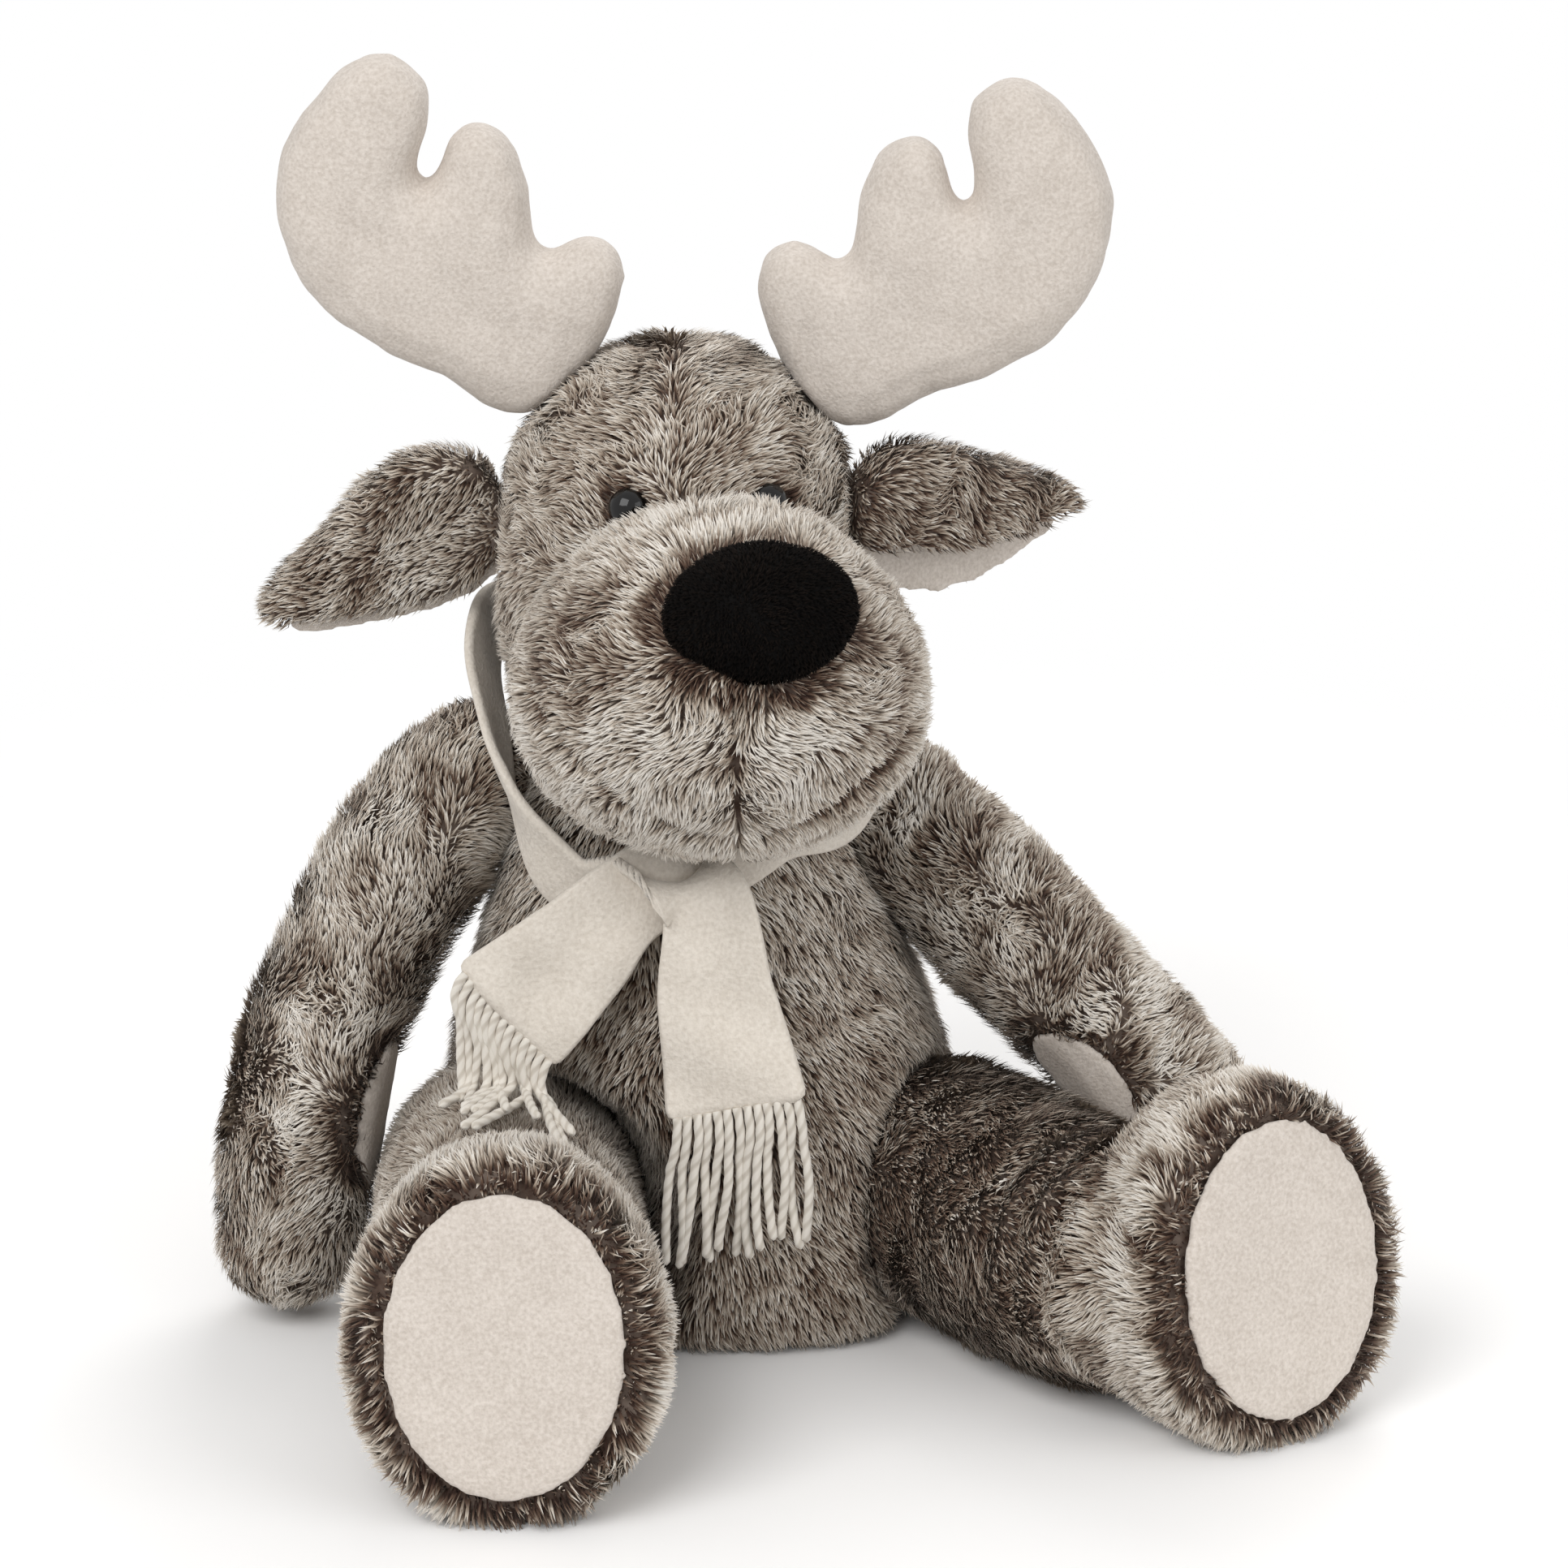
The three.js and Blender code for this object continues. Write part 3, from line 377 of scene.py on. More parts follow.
@dataclass(frozen=True)
class PlushPile:
    """Polyester faux fur, knitted and sheared, its fibres dyed dark at the root and frosted pale
    at the tip. The eye sees pale streaks over dark gaps, which shift as the pile turns."""

    name: str = "frosted_plush_pile"
    places: tuple[float, ...] = (0.0, 0.26, 0.5, 0.76, 1.0)
    colours: tuple[str, ...] = ("#2e1a11", "#5a4537", "#968778", "#c6bbad", "#e8e2d9")
    sheen: float = 0.35
    shine: float = 0.2
    reach: float = 0.95

    def make(self) -> Material:
        """Colour follows a tuft's own map: v from root to tip, u its shade among its neighbours."""
        inputs = {"Roughness": 0.8, "Specular IOR Level": self.shine, "Sheen Weight": self.sheen}
        inputs |= {"Sheen Roughness": 0.5, "Sheen Tint": linear("#f3e9dd")}
        material, tree, shader = new_material(self.name, inputs)
        u, v = own_map(tree)
        shade = add(tree, "ShaderNodeMath", {0: u, 1: -0.5}, operation="ADD")
        terms = {0: shade.outputs[0], 1: self.reach, 2: v}
        shift = add(tree, "ShaderNodeMath", terms, operation="MULTIPLY_ADD")
        colour = ramp(tree, shift.outputs[0], list(zip(self.places, self.colours)))
        tree.links.new(colour, shader.inputs["Base Color"])
        return material


@dataclass(frozen=True)
class ClothBacking:
    """The knitted backing and the shaded depth of the pile above it: brown, broken by soft
    patches, so that the gaps among tufts look deep."""

    name: str = "plush_backing"
    dark: str = "#4a3b33"
    pale: str = "#75685f"
    patch: float = 9 * MM

    def make(self) -> Material:
        """Two browns mixed by a noise as wide as the partings of the pile."""
        inputs = {"Roughness": 1.0, "Specular IOR Level": 0.1}
        material, tree, shader = new_material(self.name, inputs)
        colour = ramp(tree, noise(tree, self.patch, 4.0), ((0.35, self.dark), (0.65, self.pale)))
        tree.links.new(colour, shader.inputs["Base Color"])
        return material


@dataclass(frozen=True)
class ShortPile:
    """Warp-knitted velour, brushed and sheared to about 1 mm: matt, its fibre ends a fine grain
    of two near tones, with faint clouds where the pile lies another way."""

    name: str
    pale: str
    dark: str
    cloud: float = 14 * MM
    grain: float = 1.3 * MM
    relief: float = 0.5 * MM
    sheen: float = 0.15

    def make(self) -> Material:
        """A fine grain over soft clouds, in tone and in height."""
        inputs = {"Roughness": 0.95, "Specular IOR Level": 0.15}
        inputs |= {"Sheen Weight": self.sheen, "Sheen Roughness": 0.5}
        material, tree, shader = new_material(self.name, inputs)
        cloud, grain = noise(tree, self.cloud), noise(tree, self.grain, 3.0)
        terms = {0: cloud, 1: 0.25, 2: grain}
        both = add(tree, "ShaderNodeMath", terms, operation="MULTIPLY_ADD")
        colour = ramp(tree, both.outputs[0], ((0.42, self.dark), (0.82, self.pale)))
        tree.links.new(colour, shader.inputs["Base Color"])
        relief(tree, shader, grain, self.relief, 0.9)
        return material


@dataclass(frozen=True)
class Yarn:
    """Spun acrylic yarn of two plies: soft slanted ridges and a little lint."""

    name: str = "plied_acrylic_yarn"
    pale: str = "#dcd6cc"
    dark: str = "#c4bcb0"

    def make(self) -> Material:
        """Tone follows the piece's own map, with painted shade in the groove between plies."""
        inputs = {"Roughness": 0.95, "Sheen Weight": 0.2}
        material, tree, shader = new_material(self.name, inputs)
        colour = ramp(tree, own_map(tree)[1], ((0.1, self.dark), (0.6, self.pale)))
        tree.links.new(colour, shader.inputs["Base Color"])
        return material


@dataclass(frozen=True)
class Moulded:
    """Injection-moulded plastic: an even colour, its gloss set by the mould's polish."""

    name: str
    colour: str
    rough: float
    ripple: float = 5 * MM

    def make(self) -> Material:
        """A faint long ripple in the gloss, as moulded faces have."""
        inputs = {"Base Color": linear(self.colour), "Roughness": self.rough}
        inputs |= {"IOR": 1.49, "Specular IOR Level": 0.35}
        material, tree, shader = new_material(self.name, inputs)
        relief(tree, shader, noise(tree, self.ripple), 0.03 * MM, 0.3)
        return material


# Stuffed forms


@dataclass(frozen=True)
class Stuffing:
    """How a sewn form is made from its frame nodes: remeshed as one body, relaxed, and swollen
    as cloth under the pressure of its filling."""

    voxel: float = 4 * MM
    relax: int = 8
    sink: float = 1 * MM
    puff: float = 0.0
    pressure: float = 4.0
    last_frame: int = 20

    def form(self, name: str, nodes: Sequence[str], dent: Field | None = None) -> Thing:
        """Joins copies of the nodes, remeshes them to one skin, relaxes it and draws it in.

        Args:
            name: the new piece's name.
            nodes: frame nodes that together fill the form.
            dent: how far each place is drawn in further, for creases and seams.

        Returns:
            The skin, subdivided once.
        """
        points, faces, first = [], [], 0
        for node in nodes:
            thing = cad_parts[node]
            points.append(places(thing))
            faces.append(triangles_of(thing) + first)
            first += len(points[-1])
        joined = np.vstack(faces)
        merged, which = np.unique(np.round(np.vstack(points), 6), axis=0, return_inverse=True)
        skin = mesh_of(name, merged, which.ravel()[joined])
        skin.modifiers.new("remesh", "REMESH").mode = "VOXEL"
        skin.modifiers["remesh"].voxel_size = self.voxel
        apply_modifiers(skin)
        keep_outer(skin)
        set_places(skin, smoothed(places(skin), edges_of(skin), self.relax))
        set_places(skin, places(skin) - self.sink * normals_of(skin))
        if self.puff > 0:
            self.swell(skin)
        skin.modifiers.new("finer", "SUBSURF").levels = 1
        skin.modifiers["finer"].render_levels = 1
        apply_modifiers(skin)
        if dent is not None:
            set_places(skin, places(skin) - dent(places(skin))[:, None] * normals_of(skin))
        skin.data.polygons.foreach_set("use_smooth", np.ones(len(skin.data.polygons), bool))
        return skin

    def swell(self, skin: Thing) -> None:
        """Runs the skin as cloth with pressure inside. Each place moves by up to puff, and not
        inwards, where the filling is."""
        before, normal = places(skin), normals_of(skin)
        cloth = skin.modifiers.new("cloth", "CLOTH").settings
        cloth.use_pressure = True
        cloth.uniform_pressure_force = self.pressure
        cloth.effector_weights.gravity = 0.0
        scene = bpy.context.scene
        for number in range(1, self.last_frame + 1):
            scene.frame_set(number)
        apply_modifiers(skin)
        moved = places(skin) - before
        inwards = np.minimum((moved * normal).sum(1, keepdims=True), 0)
        moved = moved - inwards * normal
        far = np.maximum(np.linalg.norm(moved, axis=1, keepdims=True), 1e-9)
        set_places(skin, before + moved * np.minimum(1, self.puff / far))
        scene.frame_set(1)


def keep_outer(thing: Thing) -> None:
    """Keeps only the largest connected surface of a mesh, by joining labels along its edges."""
    count, edges = len(thing.data.vertices), edges_of(thing)
    label = np.arange(count)
    while True:
        low, new = label[edges].min(1), label.copy()
        for end in (0, 1):
            np.minimum.at(new, edges[:, end], low)
        new = new[new]
        if (new == label).all():
            break
        label = new
    keep = label == np.bincount(label).argmax()
    number = np.cumsum(keep) - 1
    quads = read(thing.data.loops, "vertex_index", 1, np.int32).reshape(-1, 4)
    quads = quads[keep[quads[:, 0]]]
    old = thing.data
    whole = mesh_of("whole", places(thing)[keep], number[quads])
    thing.data = whole.data
    bpy.data.objects.remove(whole)
    bpy.data.meshes.remove(old)


@dataclass
class Tufts:
    """Where tufts start and what each is like, one row or value a tuft."""

    root: Array
    normal: Array
    way: Array
    dark: Array
    long: Array
    pressed: Array


@dataclass(frozen=True)
class Pile:
    """Tufts of plush on a skin. A tuft is a bent blade of three facets: narrow at its root, widest
    at its middle, pointed at its tip. It leans the way that the pile is combed, and the tips of
    neighbours are drawn together in locks."""

    length: float = 8.5 * MM
    width: float = 0.8 * MM
    spacing: float = 1.12 * MM
    rise: float = 42 * DEGREE
    lie: float = 68 * DEGREE
    swirl: float = 0.35
    lock: float = 2.8 * MM
    gather: float = 0.35
    mottle: float = 15 * MM
    contrast: float = 0.08
    press: float = 6 * MM
    flattest: float = 78 * DEGREE
    pressed_in: float = 0.4
    stray: float = 0.22
    bury: float = 0.6 * MM
    seed: int = 1
    columns: int = 24

    def grow(
        self,
        name: str,
        skin: Thing,
        comb: Field,
        keep: Field | None = None,
        dark: Field | None = None,
        long: Field | None = None,
        against: Sequence[str] = (),
    ) -> Thing:
        """Spreads tufts evenly over a skin.

        Args:
            name: the new piece's name.
            skin: the form that the tufts grow on.
            comb: the way that the pile is combed at each place.
            keep: whether a tuft grows at each place, from 0 to 1.
            dark: how much darker the pile is at each place, from 0 to 1, or paler below 0.
            long: how many times longer the pile is at each place.
            against: frame nodes of other bodies, which press the pile flat where they touch.

        Returns:
            The pile as one piece.
        """
        rng = np.random.default_rng(self.seed)
        corners, normals, faces = places(skin), normals_of(skin), triangles_of(skin)
        a, b, c = (corners[faces[:, k]] for k in range(3))
        total = np.cumsum(np.linalg.norm(np.cross(b - a, c - a), axis=1) / 2)
        count = int(total[-1] / self.spacing**2)
        face = np.searchsorted(total, (np.arange(count) + rng.random(count)) / count * total[-1])
        face = np.minimum(face, len(faces) - 1)
        u, v = rng.random((2, count, 1))
        flip = u + v > 1
        u, v = np.where(flip, 1 - u, u), np.where(flip, 1 - v, v)
        corner = faces[face]
        shares = np.stack([1 - u - v, u, v], 1)
        root = (corners[corner] * shares).sum(1)
        normal = unit((normals[corner] * shares).sum(1))
        if keep is not None:
            stays = rng.random(count) < keep(root)
            root, normal = root[stays], normal[stays]
        shade = np.zeros(len(root)) if dark is None else dark(root)
        times = np.ones(len(root)) if long is None else long(root)
        pressed = 1 - clear_of(against, 1 * MM, self.press)(root)
        return self.blades(name, Tufts(root, normal, comb(root), shade, times, pressed), rng)

    def blades(self, name: str, tufts: Tufts, rng: np.random.Generator) -> Thing:
        """Builds the tufts from their roots: a middle and a tip, each a bent step further on.

        Args:
            name: the new piece's name.
            tufts: where they start and what each is like.
            rng: where the differences among them come from.

        Returns:
            The tufts as one piece, with a map of root to tip.
        """
        root, normal, dark, pressed = tufts.root, tufts.normal, tufts.dark, tufts.pressed
        count = len(root)
        turn = np.stack([waves(root, 24 * MM, self.seed + 10 + k) for k in range(3)], 1)
        stray = self.stray * rng.normal(size=(count, 3))
        flat = across(unit(tufts.way) + self.swirl * turn + stray, normal)
        side = np.cross(flat, normal)
        mottle = waves(root, self.mottle, self.seed + 20)
        free = 1 - pressed
        size = self.length * tufts.long * rng.uniform(0.75, 1.15, count)
        size = (size * (1 - self.pressed_in * pressed))[:, None]
        rise = self.rise + (0.16 * rng.normal(size=count) - 0.14 * mottle) * free
        lie = np.clip(self.lie + (0.14 * rng.normal(size=count) - 0.1 * mottle) * free, 0.4, 1.5)
        rise, lie = ((tilt + pressed * (self.flattest - tilt))[:, None] for tilt in (rise, lie))
        middle = root + 0.5 * size * (np.cos(rise) * normal + np.sin(rise) * flat)
        tip = middle + 0.5 * size * (np.cos(lie) * normal + np.sin(lie) * flat)
        cell = np.floor((root + 0.5 * self.lock * turn) / self.lock).astype(int)
        _, lock = np.unique(cell, axis=0, return_inverse=True)
        lock = lock.ravel()
        held = np.bincount(lock)
        drawn = np.stack([np.bincount(lock, tip[:, k]) / held for k in range(3)], 1)[lock] - tip
        tip = tip + self.gather * drawn
        middle = middle + 0.3 * self.gather * drawn
        low = root - self.bury * normal
        half = 0.5 * self.width * rng.uniform(0.7, 1.25, (count, 1)) * side
        points = np.stack([low - 0.4 * half, low + 0.4 * half, middle - half, middle + half, tip], 1)
        base = 5 * np.arange(count)[:, None]
        faces = np.concatenate([base + [0, 1, 3], base + [0, 3, 2], base + [2, 3, 4]], 1).reshape(-1, 3)
        thing = mesh_of(name, points.reshape(-1, 3), faces)
        over = 0.45 * side
        left, right = normal - over, normal + over
        shine = unit(np.stack([left, right, left, right, normal + 0.3 * flat], 1).reshape(-1, 3))
        thing.data.normals_split_custom_set_from_vertices(shine.astype(np.float32))
        of_lock = 0.05 * rng.normal(size=len(held))[lock]
        specks = (0.1 + 0.18 * np.clip(dark, 0, 1)) * rng.normal(size=count)
        # dark holds each part's tone, and painted shade where the part's field adds it
        depth = 0.45 * np.clip(dark, -0.9, 1) + 0.2 * np.clip(dark, 0, 1) ** 2
        value = 0.5 + self.contrast * mottle + of_lock + specks - depth
        column = np.floor(np.clip(value, 0.01, 0.99) * self.columns)
        left, middle_u, right = ((column + share) / self.columns for share in (0.15, 0.5, 0.85))
        u = np.stack([left, right, right, left, right, left, left, right, middle_u], 1)
        foot_v, bend_v, tip_v = 0.03, 0.5, 0.97
        rows = [foot_v, foot_v, bend_v, foot_v, bend_v, bend_v, bend_v, bend_v, tip_v]
        set_map(thing, u, np.broadcast_to(rows, u.shape))
        return thing


class Finishes:
    """Every material of the toy, made once."""

    def __init__(self) -> None:
        """Makes them."""
        black = ("#020202", "#080605", "#17120f")
        self.plush = PlushPile().make()
        self.backing = ClothBacking().make()
        self.velour = ShortPile("pale_velour", "#d6cdc4", "#c0b6ac").make()
        self.black = ShortPile("black_velour", "#080605", "#030202", sheen=0.0).make()
        self.black_pile = PlushPile("black_nose_pile", (0.0, 0.5, 1.0), black, 0.0, 0.04).make()
        self.fleece = ShortPile("brushed_fleece", "#ded6cb", "#cdc4b8", grain=1.5 * MM).make()
        self.yarn = Yarn().make()
        self.gloss = Moulded("polished_eye_plastic", "#0a0808", 0.08).make()
        self.washer = Moulded("washer_plastic", "#e6e4df", 0.5).make()
        self.fibre = ShortPile("polyester_fibre", "#f4f2ee", "#dedbd5", grain=3 * MM).make()
        self.cotton = ShortPile("plain_cotton", "#e0dacc", "#c8c1b2", grain=0.6 * MM).make()


# The stuffing of the plush parts, and that of the thin pads
PLUMP = Stuffing(sink=1.4 * MM, puff=1.6 * MM)
PAD = Stuffing(voxel=1.6 * MM, relax=8, sink=-0.4 * MM)

# Sub-assemblies


@dataclass
class Torso:
    """The body: a pear of plush, combed down and a little outwards."""

    finishes: Finishes
    stuffing: Stuffing = Stuffing(voxel=4.5 * MM, relax=10, sink=1.4 * MM, puff=1.6 * MM)
    pile: Pile = Pile(seed=11, spacing=1.2 * MM, swirl=0.2, contrast=0.05)
    belly_seam: float = -9 * MM
    seam_width: float = 4 * MM
    seam_depth: float = 1.5 * MM

    def comb(self, root: Array) -> Array:
        """Down, and away from the seam down the belly."""
        out = np.zeros_like(root)
        out[:, 2] = -1.0
        out[:, 0] = 0.45 * np.tanh((root[:, 0] - self.belly_seam) / (25 * MM))
        return out

    def seam(self, root: Array) -> Array:
        """How near a place is to the seam down the belly, from 0 to 1."""
        front = step(-root[:, 1], 20 * MM, 50 * MM)
        return front * bump_at(root[:, 0], self.belly_seam, self.seam_width)

    def dark(self, root: Array) -> Array:
        """Painted shade towards the lap, and darker along the seam."""
        # painted shade: darker towards the lap
        return -0.2 + 0.38 * step(-root[:, 2], -190 * MM, -60 * MM) + 0.25 * self.seam(root)

    def build(self) -> None:
        """The skin and its pile."""
        dent = lambda root: self.seam_depth * self.seam(root)
        skin = self.stuffing.form("torso_skin", ["torso_cover", "torso_filling"], dent)
        finish_piece(skin, "torso", self.finishes.backing, ["torso_cover"])
        near = [*pair("arm_cover"), *pair("leg_cover"), "scarf"]
        for word, sign in (("front", -1), ("back", 1)):
            half = lambda root: sign * root[:, 1] > 0
            fur = self.pile.grow(f"torso_pile_{word}", skin, self.comb, half, self.dark, against=near)
            finish_piece(fur, "torso", self.finishes.plush)


@dataclass
class Limb:
    """An arm or a leg with its pale pad. The pile runs from the joint to the end, and radiates
    round the pad in a longer ring, dark at its roots."""

    side: Side
    kind: str
    pad: str
    finishes: Finishes
    seed: int
    way: Point
    # shade is how much painted shade darkens the limb away from its pad
    shade: float = 0.0
    patchy: float = 0.0
    folds: tuple[float, ...] = ()
    fold_depth: float = 2.2 * MM
    fold_width: float = 3 * MM
    ring: float = 9 * MM
    brim: float = 4.5 * MM

    def __post_init__(self) -> None:
        """Names the frame nodes and finds where the pad is and which way it faces."""
        word = self.side.word
        self.covers = [f"{self.kind}_cover_{word}"]
        if self.kind == "leg":
            self.covers.append(f"foot_cover_{word}")
        self.pad_node = f"{self.pad}_{word}"
        self.middle, self.facing = plate(self.pad_node, self.covers[-1])
        self.upright = across(np.array([0.0, 0.0, 1.0]), self.facing)
        self.sideways = np.cross(self.facing, self.upright)
        turn, radius = self.polar(places(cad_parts[self.pad_node]))
        half = 8
        part = np.floor(half + turn / math.pi * half).astype(int) % (2 * half)
        rim = [np.flatnonzero(part == k)[radius[part == k].argmax()] for k in np.unique(part)]
        self.rim_turn, self.rim_radius = turn[rim], radius[rim]

    def polar(self, root: Array) -> tuple[Array, Array]:
        """Each place's turn round the pad's middle and its reach from there, across the face."""
        up, side = (root - self.middle) @ self.upright, (root - self.middle) @ self.sideways
        return np.arctan2(side, up), np.hypot(side, up)

    def behind(self, root: Array) -> Array:
        """How far each place lies behind the pad's face."""
        return (self.middle - root) @ self.facing

    def off(self, root: Array) -> Array:
        """How far each place lies outside the pad's outline, or inside it below 0. Places deep
        behind the face count as further out."""
        turn, radius = self.polar(root)
        out = radius - np.interp(turn, self.rim_turn, self.rim_radius, period=2 * math.pi)
        deep = np.clip(np.abs(self.behind(root)) - 14 * MM, 0, None)
        return np.where(deep > 0, np.hypot(np.clip(out, 0, None), deep) + 2 * MM, out)

    def over_edge(self, root: Array) -> Array:
        """Whether a tuft is one of the short ones that lean over the pad's edge."""
        return (self.off(root) < self.brim) & (waves(root, 2.5 * MM, self.seed + 7) > 0.1)

    def comb(self, root: Array) -> Array:
        """Outwards round the pad, back over the edge of the foot, then along the limb."""
        deep = self.behind(root)[:, None]
        along = np.array(self.way)
        outwards = unit(across(root - self.middle, self.facing))
        outwards = np.where(self.over_edge(root)[:, None], -outwards, outwards)
        edge = 1 - step(deep, 6 * MM, 24 * MM)
        heel = 1 - step(deep, 30 * MM, 60 * MM)
        back = heel * -self.facing + (1 - heel) * along
        return edge * outwards + (1 - edge) * back

    def dark(self, root: Array) -> Array:
        """Dark brown at the pad's edge, paler beyond it, with patches, and painted shade further from
        the pad.
        """
        off = self.off(root) + 2.2 * MM * waves(root, 16 * MM, self.seed + 5)
        near = (0.72 + 0.3 * waves(root, 6 * MM, self.seed + 9)) * (1 - step(off, 1.5 * MM, self.ring))
        rim = -0.5 * bump_at(off, self.ring + 2 * MM, 5 * MM)
        # painted shade, growing away from the pad
        shade = self.shade * step(self.behind(root), 22 * MM, 60 * MM)
        return near + rim + shade + self.patchy * np.tanh(1.8 * waves(root, 34 * MM, self.seed))

    def long(self, root: Array) -> Array:
        """Longer in the ring round the pad, and short where it leans over the pad's edge."""
        ring = 1 + 0.2 * (1 - step(self.off(root), 4 * MM, self.ring))
        return np.where(self.over_edge(root), 0.5, ring)

    def dent(self, root: Array) -> Array:
        """Creases across the ankle, each a smooth groove on the upper side."""
        deep = self.behind(root)
        upper = step(root[:, 2], 30 * MM, 70 * MM)
        folds = [self.fold_depth * bump_at(deep, fold, self.fold_width) for fold in self.folds]
        return sum(folds, np.zeros(len(root))) * upper

    def build(self, against: Sequence[str] = ()) -> None:
        """The skin, its pile up to the pad, and the pad.

        Args:
            against: frame nodes of other bodies that press the pile flat.
        """
        word = self.side.word
        body = f"{self.kind}_{word}"
        skin = PLUMP.form(f"{body}_skin", [*self.covers, f"{self.kind}_filling_{word}"], self.dent)
        finish_piece(skin, body, self.finishes.backing, self.covers)
        keep = lambda root: step(self.off(root), -2.6 * MM, -1.8 * MM)
        pile = Pile(seed=self.seed)
        fur = pile.grow(f"{body}_pile", skin, self.comb, keep, self.dark, self.long, against)
        finish_piece(fur, body, self.finishes.plush)
        piece = PAD.form(f"{self.pad_node}_velour", [self.pad_node])
        finish_piece(piece, body, self.finishes.velour, [self.pad_node])


@dataclass
class Head:
    """The head with its muzzle, nose, eyes, antlers and ears."""

    finishes: Finishes
    seam: float = -9 * MM
    crease: float = 12.5 * MM
    crease_depth: float = 3 * MM
    chin: float = 206 * MM
    muzzle_middle: Point = (6 * MM, -72 * MM, 245 * MM)
    muzzle_half: Point = (68 * MM, 62 * MM, 58 * MM)
    nose_root: Point = (20 * MM, -135 * MM, 282 * MM)
    nose_corner: Point = (-1 * MM, -138 * MM, 258 * MM)
    cheeks: tuple[Point, Point] = ((-45 * MM, -105 * MM, 262 * MM), (62 * MM, -110 * MM, 238 * MM))

    def head_comb(self, root: Array) -> Array:
        """Up the forehead and away from its seam, then back and down behind."""
        out = np.zeros_like(root)
        side = np.tanh((root[:, 0] - self.seam) / (10 * MM))
        front = step(-root[:, 1], -20 * MM, 20 * MM)
        out[:, 0] = side * (0.5 + 0.8 * front)
        out[:, 2] = -0.9 + 1.5 * front * step(root[:, 2], 250 * MM, 300 * MM)
        return out

    def head_dark(self, root: Array) -> Array:
        """Darker in the forehead's seam, with painted shade round the eyes and low down the sides of
        the neck.
        """
        front = step(-root[:, 1], 0, 20 * MM)
        seam = 0.3 * front * bump_at(root[:, 0], self.seam, 3 * MM)
        # painted shade round the eyes and low on the sides of the neck
        return seam + self.socket(root) + 0.2 * step(-root[:, 2], -250 * MM, -190 * MM)

    def socket(self, root: Array) -> Array:
        """Painted shade round the eyes, which sit in the pile."""
        return 0.6 * (1 - clear_of(pair("eye"), 1.5 * MM, 6 * MM)(root))

    def creases(self, root: Array) -> Array:
        """How near a place is to the crease under the nose or the seam of the chin."""
        front = step(-root[:, 1], 80 * MM, 100 * MM)
        under = step(root[:, 2], 208 * MM, 214 * MM) * (1 - step(root[:, 2], 250 * MM, 262 * MM))
        arc = self.chin + 10 * (root[:, 0] - self.crease) ** 2
        return front * np.maximum(
            bump_at(root[:, 0], self.crease, 3.5 * MM) * under, bump_at(root[:, 2], arc, 3 * MM)
        )

    def muzzle_comb(self, root: Array) -> Array:
        """Out from the nose, back over the bridge, down the cheeks, and off the crease."""
        out = root - np.array(self.nose_root)
        out[:, 1] += 20 * MM
        out = unit(out)
        side = np.sign(root[:, 0] - self.crease)
        below = step(-root[:, 2], -262 * MM, -245 * MM) * bump_at(root[:, 0], self.crease, 12 * MM)
        out[:, 0] += 1.2 * side * below
        return out

    def muzzle_dark(self, root: Array) -> Array:
        """Pale on the bridge, brown round the nose and on the cheeks, with painted shade in the creases
        and round the eyes.
        """
        bridge = -0.25 * step(root[:, 2], 278 * MM, 292 * MM) * step(root[:, 1], -125 * MM, -105 * MM)
        off = nearest(["nose"], root, 20 * MM) + 1.5 * MM * waves(root, 14 * MM, 24)
        nose = (1 + 0.3 * waves(root, 8 * MM, 26)) * (1 - step(off, 5 * MM, 12 * MM))
        chin = -0.12 - 0.36 * step(-root[:, 2], -262 * MM, -240 * MM)
        cheeks = sum(bump_at(np.linalg.norm(root - c, axis=1), 0, 27 * MM) for c in self.cheeks)
        cheeks = cheeks * (0.6 + 0.2 * waves(root, 12 * MM, 25))
        # painted shade in the creases and round the eyes
        return bridge + nose + cheeks + 0.4 * self.creases(root) + chin + self.socket(root)

    def build(self) -> None:
        """All the pieces that turn with the head."""
        self.build_head()
        self.build_muzzle()
        self.build_nose()
        for side in Side:
            self.build_antler(side)
            self.build_ear(side)
            self.build_eye(side)

    def build_head(self) -> None:
        """The round head, its pile left out where the muzzle covers it."""
        head = PLUMP.form("head_skin", ["head_cover", "head_filling"])
        finish_piece(head, "head", self.finishes.backing, ["head_cover"])
        off = lambda root: np.linalg.norm((root - self.muzzle_middle) / self.muzzle_half, axis=1)
        bare = clear_of(pair("eye"), 0.6 * MM, 1.6 * MM)
        keep = lambda root: step(off(root), 0.88, 0.95) * bare(root)
        near = [*pair("antler_cover"), *pair("ear_back"), "scarf"]
        pile = Pile(seed=21, length=8 * MM)
        fur = pile.grow("head_pile", head, self.head_comb, keep, self.head_dark, against=near)
        finish_piece(fur, "head", self.finishes.plush)

    def build_muzzle(self) -> None:
        """The broad muzzle, creased from its nose to its chin."""
        dent = lambda root: self.crease_depth * self.creases(root)
        skin = PLUMP.form("muzzle_skin", ["muzzle_cover", "muzzle_filling"], dent)
        finish_piece(skin, "head", self.finishes.backing, ["muzzle_cover"])
        nose, eyes = clear_of(["nose"], 0.3 * MM, 1 * MM), clear_of(pair("eye"), 0.8 * MM, 2 * MM)
        keep = lambda root: nose(root) * eyes(root)
        brow = lambda root: 1 + 0.25 * step(root[:, 2], 285 * MM, 300 * MM)
        pile = Pile(seed=22, length=8 * MM, spacing=1.15 * MM, press=10 * MM)
        comb, dark = self.muzzle_comb, self.muzzle_dark
        fur = pile.grow("muzzle_pile", skin, comb, keep, dark, brow, ["scarf"])
        finish_piece(fur, "head", self.finishes.plush)

